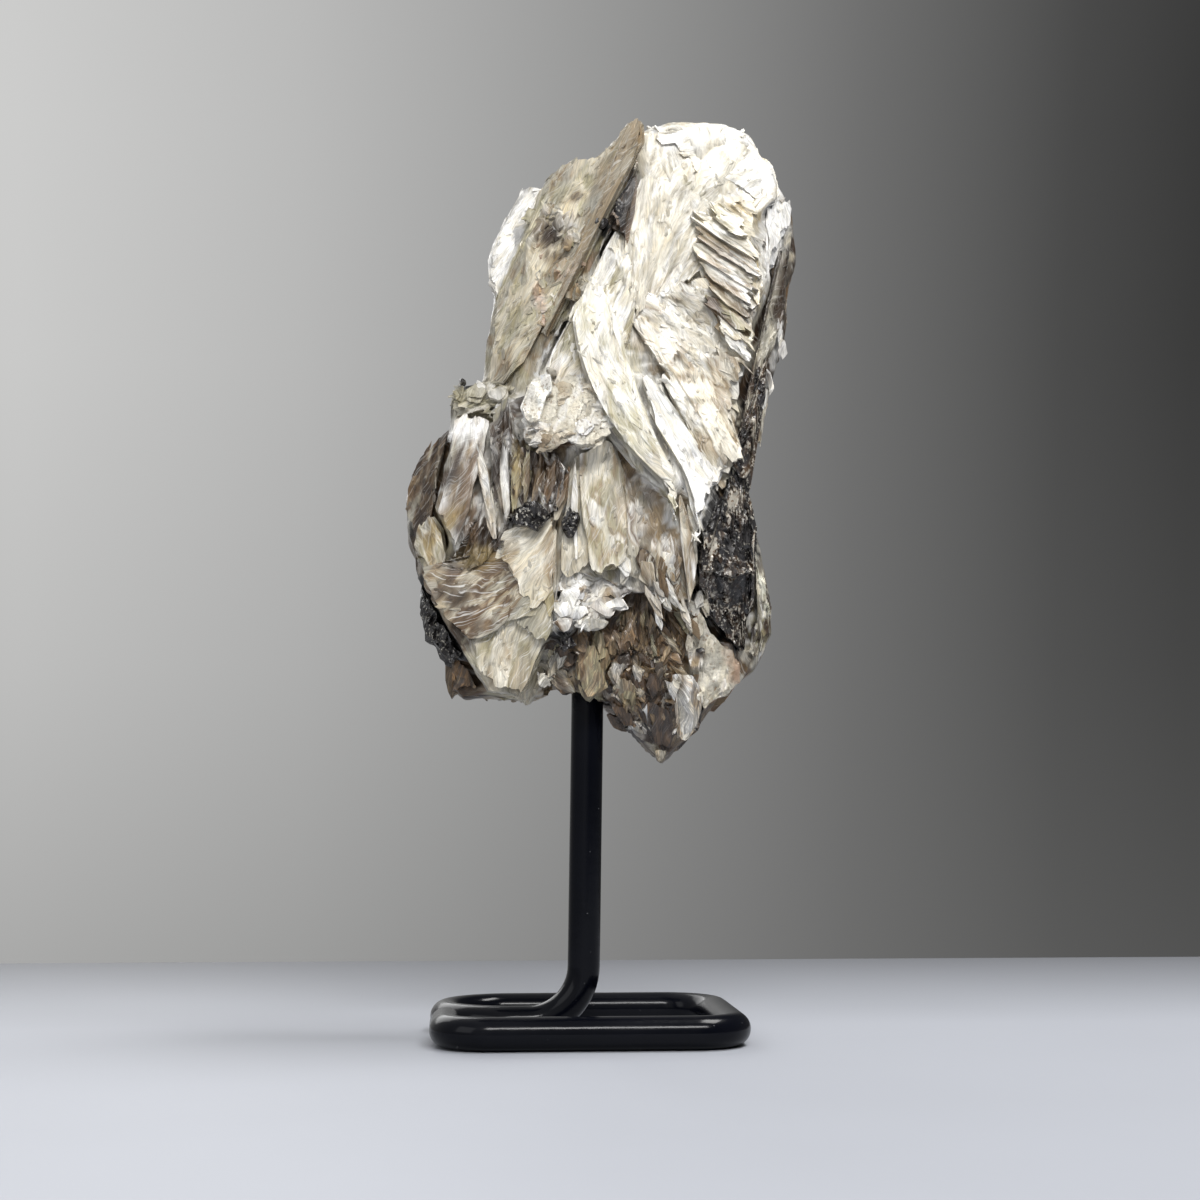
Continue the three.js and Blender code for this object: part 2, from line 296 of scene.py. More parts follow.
# materials: a mica's flakes and chips are millimetres along and across the grain, its fibres are waves in a
# millimetre, and depths are metres
micaLooks = {
    "silkyMica": {
        "flake": (9.0, 3.0), "turn": 0.35, "flakeShade": (0.92, 1.06), "flakeDepth": 0.0002,
        "chip": (2.4, 0.8), "chipDepth": 0.00007, "mottle": 0.75,
        "fibre": (0.14, 3.0), "contrast": (0.5, 1.22), "fibreDepth": 0.00014, "hair": 0.35, "hairFine": 4.4,
        "rough": (0.34, 0.55), "metallic": 0.05, "coat": 0.25, "coatRough": 0.3, "warm": 0.5, "grit": 0.22,
    },
    "flakyMica": {
        "flake": (6.5, 2.6), "turn": 0.7, "flakeShade": (0.87, 1.08), "flakeDepth": 0.00028,
        "chip": (1.7, 0.8), "chipDepth": 0.0001, "mottle": 0.66,
        "fibre": (0.18, 2.8), "contrast": (0.5, 1.2), "fibreDepth": 0.00014, "hair": 0.25, "hairFine": 4.4,
        "rough": (0.3, 0.52), "metallic": 0.07, "coat": 0.3, "coatRough": 0.25, "warm": 0.42, "grit": 0.22,
    },
    "featherMica": {
        "flake": (8.0, 4.0), "turn": 0.5, "flakeShade": (0.85, 1.1), "flakeDepth": 0.0002,
        "chip": (3.0, 1.0), "chipDepth": 0.0001, "mottle": 0.7,
        "fibre": (0.12, 2.6), "contrast": (0.42, 1.25), "fibreDepth": 0.00012, "hair": 0.55,
        "hairFine": 3.0,
        "rough": (0.35, 0.5), "metallic": 0.05, "coat": 0.3, "coatRough": 0.3, "warm": 0.5, "grit": 0.35,
    },
    "brownMica": {
        "flake": (6.0, 2.0), "turn": 0.9, "flakeShade": (0.6, 1.2), "flakeDepth": 0.0006,
        "chip": (1.6, 0.6), "chipDepth": 0.0002, "mottle": 0.5,
        "fibre": (0.14, 3.0), "contrast": (0.3, 2.1), "fibreDepth": 0.0002, "hair": 0.07, "hairFine": 3.6,
        "rough": (0.26, 0.46), "metallic": 0.08, "coat": 0.32, "coatRough": 0.2, "warm": 0.6, "grit": 0.6,
    },
}
micaTones = {
    "warm": (0.84, 0.74, 0.52), "hair": (0.93, 0.92, 0.88), "seam": (0.16, 0.12, 0.08),
    "grain": (0.09, 0.07, 0.045),
}


def makeMica(name, look):
    mica = Finish(name)
    grain, tint = mica.attribute("grain"), mica.attribute("tint", "Color")
    spread = mica.noise(mica.scaled(grain, (0.12, 0.2, 0.3)), output="Color")
    drift = mica.vectors("MULTIPLY_ADD", spread, (4.0, 4.0, 0.0), grain)
    turned, flakeShare, flakePlane = mica.flakes(drift, *look["flake"], look["turn"])
    chipped, chipShare, chipPlane = mica.flakes(turned, *look["chip"], look["turn"])
    along, across = look["fibre"]
    fine = mica.noise(mica.scaled(turned, (along, across, 1.6)), detail=4.0, roughness=0.75)
    broad = mica.scaled(turned, (along * 0.6, across * 0.16, 0.7), (9, 4, 2))
    broad = mica.noise(broad, detail=5.0, roughness=0.65)
    low, high = look["contrast"]
    shade = mica.multiply(mica.ramp(fine, (0.3, low), (0.5, 0.95), (0.68, high)), tint)
    mottle = mica.noise(mica.scaled(drift, (0.15, 0.24, 0.3), (2, 6, 1)), detail=4.0, roughness=0.6)
    shade = mica.multiply(shade, mica.ramp(mottle, (0.36, look["mottle"]), (0.54, 1.0), (0.7, 1.06)))
    dull, bright = look["flakeShade"]
    shade = mica.multiply(shade, mica.ramp(flakeShare, (0.0, dull), (0.6, 1.0), (1.0, bright)))
    chips = mica.ramp(chipShare, (0.0, (dull + 1) / 2), (0.6, 1.0), (1.0, (bright + 1) / 2))
    shade = mica.multiply(shade, chips)
    warmth = mica.ramp(broad, (0.46, 0.0), (0.64, look["warm"]))
    shade = mica.mix(warmth, shade, mica.multiply(shade, micaTones["warm"]))
    # silvery hair-thin fibres that cross the grain at a low angle, and thin dark seams between the fibres
    hairs = mica.scaled(mica.turned(drift, 0.45), (0.16, look["hairFine"], 1.0), (5, 1, 7))
    hairs = mica.noise(hairs, detail=3.0, distortion=0.25)
    shade = mica.mix(mica.ramp(hairs, (0.57, 0.0), (0.67, look["hair"])), shade, micaTones["hair"])
    shade = mica.mix(mica.ramp(fine, (0.26, look["grit"]), (0.36, 0.0)), shade, micaTones["seam"])
    grains = mica.noise(mica.scaled(chipped, (1.4, 2.2, 0.9), (3, 8, 5)), detail=3.0)
    shade = mica.mix(mica.ramp(grains, (0.66, 0.0), (0.73, look["grit"] * 0.7)), shade, micaTones["grain"])
    lifted = mica.maths("ADD", flakePlane, mica.maths("MULTIPLY", flakeShare, 0.35))
    normal = mica.bump(lifted, look["flakeDepth"])
    normal = mica.bump(chipPlane, look["chipDepth"], normal)
    roughLow, roughHigh = look["rough"]
    return mica.surface({
        "Base Color": shade, "Roughness": mica.ramp(broad, (0.35, roughLow), (0.7, roughHigh)),
        "Metallic": look["metallic"], "IOR": 1.58, "Coat Weight": look["coat"],
        "Coat Roughness": look["coatRough"], "Normal": mica.bump(fine, look["fibreDepth"], normal),
    })


crustLook = {"pits": (0.36, 0.24, 0.13), "lump": 1.1, "depth": 0.0007, "rough": 0.6}


def makeCrust(look):
    # massive pale feldspar and altered mica, stained between its lumps
    crust = Finish("paleCrust")
    turned, share, plane = crust.flakes(crust.attribute("grain"), 2.2, 1.6, 2.0)
    crumbs = crust.noise(crust.scaled(turned, (look["lump"],) * 3), detail=7.0, roughness=0.68)
    shade = crust.ramp(crumbs, (0.32, 0.6), (0.5, 1.0), (0.68, 1.15))
    shade = crust.multiply(shade, crust.attribute("tint", "Color"))
    shade = crust.multiply(shade, crust.ramp(share, (0.0, 0.75), (1.0, 1.15)))
    shade = crust.mix(crust.ramp(crumbs, (0.33, 0.85), (0.43, 0.0)), shade, look["pits"])
    height = crust.maths("ADD", crumbs, crust.maths("MULTIPLY", plane, 0.8))
    return crust.surface({
        "Base Color": shade, "Roughness": look["rough"], "Coat Weight": 0.15, "Coat Roughness": 0.35,
        "Normal": crust.bump(height, look["depth"]),
    })


tourmalineLook = {
    "grit": 1100.0, "dust": 1700.0, "patches": 130.0, "facet": 850.0, "fleckAndGlint": (0.52, 0.49, 0.42),
    "depth": 0.0008,
}


def makeTourmaline(look):
    black = Finish("blackTourmaline")
    place, tint = black.place(), black.attribute("tint", "Color")
    _, share, plane = black.flakes(black.scaled(place, (look["facet"],) * 3), 1.0, 1.0, 1.0)
    grit = black.noise(place, look["grit"], 4.0, 0.7)
    dust, patches = black.noise(place, look["dust"]), black.noise(place, look["patches"], 3.0)
    shade = black.multiply(black.ramp(grit, (0.35, 0.5), (0.65, 2.0)), tint)
    red = black.add("ShaderNodeSeparateColor", {"Color": tint}).outputs["Red"]
    # pale flecks in patches, more where the colour is browner: partly mica specks and dust, partly painted
    # glints
    specksAndGlints = black.maths("ADD", dust, black.maths("MULTIPLY", patches, 0.3))
    specksAndGlints = black.maths("ADD", specksAndGlints, black.maths("MULTIPLY", red, 3.0))
    tilted = black.bump(plane, look["depth"])
    return black.surface({
        "Base Color": black.mix(black.ramp(specksAndGlints, (0.80, 0.0), (0.90, 0.75)), shade, look["fleckAndGlint"]),
        "Roughness": black.ramp(share, (0.0, 0.12), (1.0, 0.5)), "IOR": 1.64,
        "Normal": black.bump(grit, look["depth"] * 0.3, tilted, 0.8),
    })


coatLook = {
    "low": (0.0012, 0.0016, 0.003), "high": (0.0025, 0.003, 0.006), "dust": (0.34, 0.34, 0.35),
    "peel": 0.00012,
}


def makeBlackCoat(look):
    coat = Finish("glossBlackCoat")
    place = coat.place()
    haze = coat.noise(place, 60.0, 4.0)
    body = coat.mix(haze, look["low"], look["high"])
    specks = coat.ramp(coat.noise(place, 900.0, 3.0, 0.6), (0.72, 0.0), (0.78, 0.5))
    return coat.surface({
        "Base Color": coat.mix(specks, body, look["dust"]),
        "Roughness": coat.ramp(haze, (0.3, 0.15), (0.75, 0.26)), "IOR": 1.2, "Coat Weight": 0.12,
        "Coat Roughness": 0.1, "Normal": coat.bump(coat.noise(place, 420.0), look["peel"], strength=0.35),
    })


materials = {name: makeMica(name, look) for name, look in micaLooks.items()}
materials["paleCrust"] = makeCrust(crustLook)
materials["blackTourmaline"] = makeTourmaline(tourmalineLook)
materials["glossBlackCoat"] = makeBlackCoat(coatLook)
print("materials made:", len(materials))


def keepInside(points):
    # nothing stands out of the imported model's own box
    return np.clip(points, np.array(cadLow) + layout["margin"], np.array(cadHigh) - layout["margin"])


def writeAttributes(mesh, grain, along, tint, shed):
    direction = (toRow(along) - toRow(np.zeros((1, 3)))) * 1000
    colour = np.column_stack([np.clip(tint, 0, 1), np.ones(len(tint))])
    for name, kind, key, values in (
        ("grain", "FLOAT_VECTOR", "vector", grain),
        ("along", "FLOAT_VECTOR", "vector", direction),
        ("tint", "FLOAT_COLOR", "color", colour),
        ("shed", "FLOAT", "value", shed),
    ):
        made = mesh.attributes.new(name, kind, "POINT")
        made.data.foreach_set(key, np.asarray(values, np.float32).ravel())


def readPlaces(mesh):
    places = np.empty(len(mesh.vertices) * 3)
    mesh.vertices.foreach_get("co", places)
    return places.reshape(-1, 3)


def bakeObject(holder):
    # the evaluated shape as a plain mesh; the holder and its modifiers go
    mesh = bpy.data.meshes.new_from_object(holder.evaluated_get(bpy.context.evaluated_depsgraph_get()))
    holder.modifiers.clear()
    bpy.data.objects.remove(holder)
    return mesh


def addPiece(mesh, name, material, node="mica_rock"):
    mesh.name = name
    piece = addObject(name, mesh)
    mesh.materials.clear()
    mesh.materials.append(materials[material])
    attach(piece, "root")
    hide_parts(node)
    mesh.calc_loop_triangles()
    print(name, len(mesh.loop_triangles), "triangles")


# books of mica
# A plate is cut in columns that follow the grain. Its outline is [x, z], and its plane (depth, right, up)
# puts y at depth + right * x + up * (z - faceHeight). grain is the direction of the fibres in degrees, fan
# the point that they spread from, and arc the centre that they curve round. Sizes are millimetres.
bookDefaults = {
    "grain": 90.0,
    "fan": None,
    "arc": None,
    "sheets": 6,
    "thick": 12.0,
    "fine": (0.38, 0.65),  # column and row spacing of the front sheet
    "coarse": (0.9, 5.0),
    "inset": 0.5,  # how much smaller each sheet is than the one behind it
    "jag": 0.45,  # unevenness of the outline
    "ragged": 1.2,
    "splinter": 1.1,  # width of the splinters that a torn end breaks into
    "ridge": 0.16,
    "ridgeWidth": 0.9,
    "step": 0.35,
    "stepWidth": 3.0,
    "wave": 0.8,
    "flake": 0.14,  # height of the flakes that cover the face
    "flakeSize": (6.0, 2.6),
    "bulge": 0.0,
    "wander": 0.5,
    "lift": 0.0,  # how far the ends of the front sheets curl forward
    "tints": "cream beige",
    "patch": 0.8,  # how strongly colour changes from patch to patch
    "side": None,  # colours of the sheets further back, where they differ
    "shed": 1.0,  # how many loose flakes it carries
    "behind": False,  # faces away from the viewer
}
bookStyles = {
    "silky": {},
    "flaky": {
        "flake": 0.35, "flakeSize": (3.6, 1.8), "wave": 1.1, "ragged": 1.5, "patch": 1.0, "shed": 1.6,
    },
    "leaf": {
        "sheets": 2, "thick": 0.7, "fine": (0.5, 0.8), "coarse": (0.7, 2.5), "inset": 0.3, "jag": 0.5,
        "ragged": 1.0, "ridge": 0.2, "step": 0.25, "stepWidth": 1.4, "wave": 0.5, "flake": 0.3,
        "flakeSize": (3.0, 1.6), "shed": 0.0,
    },
    "crumbly": {
        "ridge": 0.3, "step": 0.3, "wave": 1.2, "flake": 0.9, "flakeSize": (3.4, 2.4), "jag": 0.9,
        "ragged": 0.6, "splinter": 2.0, "patch": 1.2, "shed": 0.0,
    },
    "granular": {
        "ridge": 0.5, "ridgeWidth": 0.8, "step": 0.3, "wave": 1.0, "flake": 0.9, "flakeSize": (1.3, 1.1),
        "jag": 0.8, "ragged": 0.5, "splinter": 1.4, "patch": 1.4, "shed": 0.0, "fine": (0.4, 0.4),
    },
}


class Grain:
    # turns plane coordinates into along and across coordinates, and back
    def __init__(self, book, outline):
        self.kind = "fan" if book["fan"] else "arc" if book["arc"] else "straight"
        self.angle = math.radians(book["grain"])
        if self.kind != "straight":
            self.centre = np.array(book[self.kind], float)
            middle = np.asarray(outline).mean(0) - self.centre
            self.base = math.atan2(middle[1], middle[0])
            self.scale = math.hypot(*middle)

    def toGrain(self, xz):
        if self.kind == "straight":
            c, n = math.cos(self.angle), math.sin(self.angle)
            return xz[:, 0] * c + xz[:, 1] * n, -xz[:, 0] * n + xz[:, 1] * c
        d = xz - self.centre
        turn = (np.arctan2(d[:, 1], d[:, 0]) - self.base + math.pi) % (2 * math.pi) - math.pi
        radius = np.hypot(d[:, 0], d[:, 1])
        return (radius, turn * self.scale) if self.kind == "fan" else (turn * self.scale, -radius)

    def fromGrain(self, s, t):
        if self.kind == "straight":
            c, n = math.cos(self.angle), math.sin(self.angle)
            return np.column_stack([s * c - t * n, s * n + t * c])
        fan = self.kind == "fan"
        radius, turn = (s, t / self.scale + self.base) if fan else (-t, s / self.scale + self.base)
        x, z = self.centre[0] + radius * np.cos(turn), self.centre[1] + radius * np.sin(turn)
        return np.column_stack([x, z])


def densify(outline, spacing=0.5):
    points = []
    for a, b in zip(outline, np.roll(outline, -1, 0)):
        steps = max(1, int(np.hypot(*(b - a)) / spacing))
        points += [a + (b - a) * i / steps for i in range(steps)]
    return np.array(points)


def insetOutline(outline, distance):
    # moves each point inwards along its corner's bisector
    before, after = np.roll(outline, 1, 0), np.roll(outline, -1, 0)
    area = np.sum(outline[:, 0] * after[:, 1] - after[:, 0] * outline[:, 1])
    tangent = after - before
    tangent /= np.maximum(np.hypot(tangent[:, 0], tangent[:, 1]), 1e-6)[:, None]
    inward = np.column_stack([-tangent[:, 1], tangent[:, 0]]) * (1 if area > 0 else -1)
    return outline + inward * distance


def columnSpans(outline, grain, spacing, jag, seed):
    # for each column across the grain, where it enters and leaves the outline
    edge = densify(outline)
    x, z = edge[:, 0] / 1.7, edge[:, 1] / 1.7
    edge = edge + jag * np.column_stack([smoothNoise(x, z, seed + 31, 2), smoothNoise(x, z, seed + 32, 2)])
    s, t = grain.toGrain(edge)
    count = max(3, int((t.max() - t.min()) / spacing) + 1)
    columns = np.linspace(t.min() + 0.06, t.max() - 0.06, count)
    sNext, tNext = np.roll(s, -1), np.roll(t, -1)
    low, high = np.zeros(count), np.zeros(count)
    for i, column in enumerate(columns):
        hit = (t - column) * (tNext - column) <= 0
        run = np.where(np.abs(tNext[hit] - t[hit]) < 1e-9, 1e-9, tNext[hit] - t[hit])
        cuts = s[hit] + (sNext[hit] - s[hit]) * (column - t[hit]) / run
        low[i], high[i] = cuts.min(), cuts.max()
    return columns, low, high


def splinters(columns, width, amount, rng):
    # how far each column's end is torn back, in splinters of uneven width
    count = int((columns[-1] - columns[0]) / width * 1.5) + 8
    edges = columns[0] + np.cumsum(rng.uniform(0.35, 1.65, count)) * width
    depth = rng.random(len(edges) + 1) ** 2.2 * amount
    return depth[np.searchsorted(edges, columns)] + 0.25 * amount * rng.random(len(columns)) ** 2


def flakeRelief(s, t, size, seed):
    # flakes as jittered cells: each has its own level and slant
    u, v = s / size[0], t / size[1]
    baseU, baseV = np.floor(u).astype(int), np.floor(v).astype(int)
    nearest = np.full(s.shape, 9.0)
    level, slantU, slantV = np.zeros(s.shape), np.zeros(s.shape), np.zeros(s.shape)
    for stepU in (-1, 0, 1):
        for stepV in (-1, 0, 1):
            i, j = (baseU + stepU + 17 * seed) & 255, (baseV + stepV + 31 * seed) & 255
            du = u - (baseU + stepU + 0.5 + 0.45 * noiseTable[i, j])
            dv = v - (baseV + stepV + 0.5 + 0.45 * noiseTable[j, i])
            gap = du * du + dv * dv
            closer = gap < nearest
            nearest = np.where(closer, gap, nearest)
            level = np.where(closer, noiseTable[(i + 91) & 255, j], level)
            slantU = np.where(closer, du * noiseTable[i, (j + 57) & 255], slantU)
            slantV = np.where(closer, dv * noiseTable[(i + 23) & 255, (j + 11) & 255], slantV)
    return 0.45 * level + 0.9 * slantU + 0.9 * slantV, level


def plateRelief(book, s, t, seed, rng):
    # height of the face over its plane: laths that step up and down, flakes, fine ridges and slow waves
    wander = smoothNoise(s * 0.09, t * 0.12, seed, 2) * book["wander"] * 2
    cells = int((t.max() - t.min()) / book["stepWidth"] * 1.5) + 8
    edges = t.min() + np.cumsum(rng.uniform(0.3, 1.7, cells)) * book["stepWidth"]
    cell = np.searchsorted(edges, t + wander)
    level = rng.random(cells + 2)
    jump = rng.choice([-1.0, -0.5, 0.5, 1.0], cells + 2) * rng.random(cells + 2)
    cut = rng.uniform(s.min(), s.max(), cells + 2)
    tear = smoothNoise(t * 1.3, t * 0 + 3.1, seed + 5, 2) * 2.5
    lath = level[cell] + jump[cell] * (s + tear > cut[cell])
    width = book["ridgeWidth"]
    ridge = smoothNoise(s / (12 * width), t / width, seed + 9, 3)
    wave = smoothNoise(s / 15, t / 8, seed + 13, 2)
    warp = smoothNoise(s / 4, t / 4, seed + 17, 2)
    flake, flakeLevel = flakeRelief(s + 2 * warp, t + 1.2 * warp, book["flakeSize"], seed)
    height = book["step"] * lath + book["ridge"] * ridge + book["wave"] * wave + book["flake"] * flake
    return height, lath, flakeLevel


def planePlace(depth, right, up, behind):
    # the outline is the rock's own x and z, and y follows the plane
    side = -1 if behind else 1

    def place(xz, deeper):
        x = xz[:, 0] * side
        y = depth + right * x + up * (xz[:, 1] - layout["faceHeight"]) + side * deeper
        return np.column_stack([x, y, xz[:, 1]])
    return place


def leafPlace(centre, azimuth, tilt, roll):
    # a free plate: azimuth 0 faces the viewer and 90 the right, tilt turns its face up, and roll turns it
    # in its own plane
    a, e, r = (math.radians(v) for v in (azimuth, tilt, roll))
    normal = np.array([math.sin(a) * math.cos(e), -math.cos(a) * math.cos(e), math.sin(e)])
    right = np.array([math.cos(a), math.sin(a), 0.0])
    up = np.cross(normal, right)
    p, q = right * math.cos(r) + up * math.sin(r), up * math.cos(r) - right * math.sin(r)
    origin = np.array(centre, float)

    def place(xz, deeper):
        return origin + xz[:, :1] * p + xz[:, 1:] * q - deeper[:, None] * normal
    return place


def leafShape(width, length, rng, point=0.0, corners=10):
    # a torn leaf standing on end; point narrows its lower end
    angles = np.linspace(0, 2 * math.pi, corners + 1)[:-1] + rng.uniform(-0.2, 0.2, corners)
    reach = rng.uniform(0.78, 1.08, corners)
    x, z = np.cos(angles) * reach * width / 2, np.sin(angles) * reach * length / 2
    return np.column_stack([x * (1 + point * np.clip(z / length, -0.5, 0.5) * 1.6), z])


sheetLook = {
    "filled": 0.88,  # share of its pitch that a sheet fills
    "shortest": 0.3,
    "hiddenRelief": 0.35,  # share of the relief on the sheets behind
    "pick": (0.8, 0.35, 0.25),  # how far patch, lath and flake move the colour
    "shade": (0.16, 0.12, 0.1),  # how far sheet, lath and flake change the brightness
    "sharp": 38.0,  # the angle past which an edge is drawn sharp
}


class Pile:
    # books and leaves gathered into one mesh
    def __init__(self, name, material, style, slot="mica"):
        self.name, self.material, self.style, self.slot = name, material, style, slot
        self.points, self.grain, self.along, self.tint, self.shed = [], [], [], [], []
        self.faces, self.smooth = [], []
        self.count = 0

    def addPoints(self, *given):
        start = self.count
        for store, values in zip((self.points, self.grain, self.along, self.tint, self.shed), given):
            store.append(values)
        self.count += len(given[0])
        return start

    def addFaces(self, faces, start, smooth):
        self.faces += (np.asarray(faces) + start).tolist()
        self.smooth.append(np.full(len(faces), smooth))

    def addSheet(self, book, place, level, outline, offset, thickness, rng):
        front = level == 0
        spacing = book["fine"] if front else book["coarse"]
        grain = Grain(book, outline)
        seed = book["seed"] * 7 + level
        columns, low, high = columnSpans(outline, grain, spacing[0], book["jag"], seed)
        low = low + splinters(columns, book["splinter"], book["ragged"], rng)
        high = high - splinters(columns, book["splinter"], book["ragged"], rng)
        shortest = sheetLook["shortest"]
        short = high - low < shortest
        middle = (low + high) / 2
        low[short], high[short] = middle[short] - shortest / 2, middle[short] + shortest / 2
        rows = max(2, int((high - low).max() / spacing[1]) + 1)
        part = np.linspace(0, 1, rows)
        s = (low[:, None] + (high - low)[:, None] * part).ravel()
        t = np.repeat(columns, rows)
        xz = grain.fromGrain(s, t)
        relief, lath, flakeLevel = plateRelief(book, s, t, seed, rng)
        centre = outline.mean(0)
        reach = np.abs(outline - centre).max(0)
        dome = np.clip(1 - 0.7 * (((xz - centre) / reach) ** 2).sum(1), 0, 1)
        ends = np.tile(np.clip(1 - np.minimum(part, 1 - part) * 5, 0, 1) ** 2, len(columns))
        height = relief * (1.0 if front else sheetLook["hiddenRelief"]) + book["bulge"] * dome
        height += book["lift"] * ends * (1 if level < 2 else 0)
        face = place(xz, offset - height)
        back = place(xz, offset + thickness - (height * 0 if front else height))
        ahead = place(grain.fromGrain(s + 0.5, t), offset - height) - face
        along = ahead / np.maximum(np.linalg.norm(ahead, axis=1), 1e-6)[:, None]

        # colour by lath, by flake and by patch
        patch = smoothNoise(s / 9, t / 4, seed + 21, 3)
        patchPick, lathPick, flakePick = sheetLook["pick"]
        pick = patch * patchPick + (lath - 0.6) * lathPick + flakeLevel * flakePick
        pick = np.clip(0.5 + book["patch"] * pick, 0, 1)
        tint = paletteMix(book["side"] if level > 1 and book["side"] else book["tints"], pick)
        sheetShade, lathShade, flakeShade = sheetLook["shade"]
        shade = 1 + sheetShade * (rng.random() - 0.5) + lathShade * (lath - 0.6) + flakeShade * flakeLevel
        tint *= shade[:, None]
        if front and not book["behind"]:
            tint = addStainsAndHighlights(tint, face[:, 0], face[:, 2], seed)
        shift = rng.uniform(0, 60, 2)
        local = np.column_stack([s + shift[0], t + shift[1], np.full(s.size, offset + seed * 3.7)])
        deeper = local + np.array([0, 0, thickness])
        shed = np.full(s.size, book["shed"] if front else 0.0)

        index = np.arange(s.size).reshape(len(columns), rows)
        corners = index[:-1, :-1], index[:-1, 1:], index[1:, 1:], index[1:, :-1]
        quads = np.column_stack([corner.ravel() for corner in corners])
        loop = np.concatenate([index[0, :], index[1:-1, -1], index[-1, ::-1], index[-2:0:-1, 0]])
        start = self.addPoints(face, local, along, tint, shed)
        self.addFaces(quads, start, True)
        if front:  # the hidden back is one face round the rim
            rim = self.addPoints(back[loop], deeper[loop], along[loop], tint[loop], shed[loop] * 0)
            behind = np.arange(len(loop)) + rim - start
            self.addFaces([behind[::-1]], start, False)
        else:
            rim = self.addPoints(back, deeper, along, tint, shed)
            self.addFaces(quads[:, ::-1], rim, True)
            behind = loop + rim - start
        walls = np.column_stack([loop, behind, np.roll(behind, -1), np.roll(loop, -1)])
        self.addFaces(walls, start, False)

    def book(self, outline, plane=None, pose=None, style=None, **given):
        book = {**bookDefaults, **bookStyles[style or self.style], **given}
        rng = np.random.default_rng(book["seed"] * 101 + 3)
        outline = np.array(outline, float)
        if book["behind"]:
            outline[:, 0] *= -1
            for key in ("fan", "arc"):
                book[key] = book[key] and (-book[key][0], book[key][1])
        place = planePlace(*plane, book["behind"]) if plane else leafPlace(*pose)
        pitch = book["thick"] / book["sheets"]
        for level in range(book["sheets"]):
            shrink = book["inset"] * min(3.0, book["sheets"] - 1 - level) * rng.uniform(0.5, 1.3) + 0.1
            cut = insetOutline(outline, shrink) + rng.normal(0, 0.12, outline.shape)
            self.addSheet(book, place, level, cut, level * pitch, pitch * sheetLook["filled"], rng)

    def leaves(
        self, count, plane, low, high, width, length, facing, spread, tints, seed, point=0.0, toward=None,
        proud=(0.2, 1.4), **given
    ):
        # a cluster over a plane, from low to high [x, z], facing (azimuth, tilt, roll) give or take spread
        rng = np.random.default_rng(seed)
        choices = tints.split(", ")
        for i in range(count):
            x, z = rng.uniform(low, high)
            depth = plane[0] + plane[1] * x + plane[2] * (z - layout["faceHeight"])
            centre = (x, depth - rng.uniform(*proud), z)
            wide, long = rng.uniform(*width), rng.uniform(*length)
            azimuth, tilt, roll = np.array(facing) + rng.uniform(-1, 1, 3) * spread
            if toward:  # its lower end points at a place [x, z]
                roll += math.degrees(math.atan2(toward[0] - centre[0], centre[2] - toward[1]))
            shades = choices[rng.integers(len(choices))]
            self.book(
                leafShape(wide, long, rng, point), pose=(centre, azimuth, tilt, roll), style="leaf",
                seed=seed * 40 + i, tints=shades, bulge=rng.uniform(-0.6, 0.9), **given,
            )

    def finish(self):
        mesh = bpy.data.meshes.new(self.name)
        places = keepInside(toRow(np.concatenate(self.points)))
        mesh.from_pydata(places.tolist(), [], self.faces)
        mesh.polygons.foreach_set("use_smooth", np.concatenate(self.smooth))
        stores = (self.grain, self.along, self.tint, self.shed)
        writeAttributes(mesh, *(np.concatenate(values) for values in stores))
        mesh.set_sharp_from_angle(angle=math.radians(sheetLook["sharp"]))
        addPiece(mesh, self.name, self.material)


def laidShape(shape, x, z, turn, length, width):
    # a shape whose [u, v] are shares of its length and width, laid out from a place in a direction
    c, n = math.cos(turn), math.sin(turn)
    return [(x + u * length * c + v * width * n, z + u * length * n - v * width * c) for u, v in shape]


# the upper front: a slab at the left in painted shade, the crown and shoulder, and two bright blades
# the slab's greys, tans and olives are darkened to stand for the shade the slab lies in: painted shade
leftSlab = Pile("left_slab", "silkyMica", "silky")
leftSlab.book([
    (10, 182), (11.5, 180), (11.5, 175.5), (9.6, 170.5), (2.8, 161), (-6, 142), (-11.5, 132),
    (-17, 126.5), (-21, 124), (-22, 130), (-20.5, 139.5), (-20.5, 148.5), (-16.5, 156.5), (-13, 165.5),
    (-11, 171.5), (-8.6, 175), (-5, 177), (-1.5, 177.2), (1.5, 176.8), (4.5, 178.6), (7.5, 182),
], plane=(-17.3, -0.85, 0.25), seed=1, grain=62, sheets=9, thick=14,
   tints="grey tan beige grey olive beige", wave=1.9, flake=0.4, flakeSize=(5, 3), stepWidth=4, patch=1.5,
   shed=0.5)
leftSlab.book([
    (9.8, 181.8), (11.5, 180), (11.6, 175), (9.8, 170.5), (6, 165), (2.6, 159.8), (-1.4, 151),
    (-5.8, 141), (-8, 137), (-9.5, 140.5), (-6, 147.5), (-2.5, 155), (1, 162.5), (4, 171.5), (7, 180),
], plane=(-18.6, -0.85, 0.25), seed=2, grain=62, sheets=3, thick=4, bulge=1.3, tints="grey tan grey olive",
   ragged=0.6, step=0.4, wave=0.6, stepWidth=1.8, shed=0.4)
# a thin plate behind the slab's left edge, painted white to stand for the light it catches: painted
# highlight
leftSlab.book([
    (-9, 173.5), (-11.5, 174), (-14, 173), (-15, 170.5), (-14.5, 169), (-17.5, 166), (-19.5, 162),
    (-20.5, 158), (-20.5, 152.5), (-18, 147.5), (-13, 160), (-10.5, 169.5),
], plane=(9.6, 0.3, 0.1), seed=3, grain=60, sheets=3, thick=4, lift=0.4, tints="white white", ragged=0.6,
   flake=0.3, patch=0.6, shed=0.5)
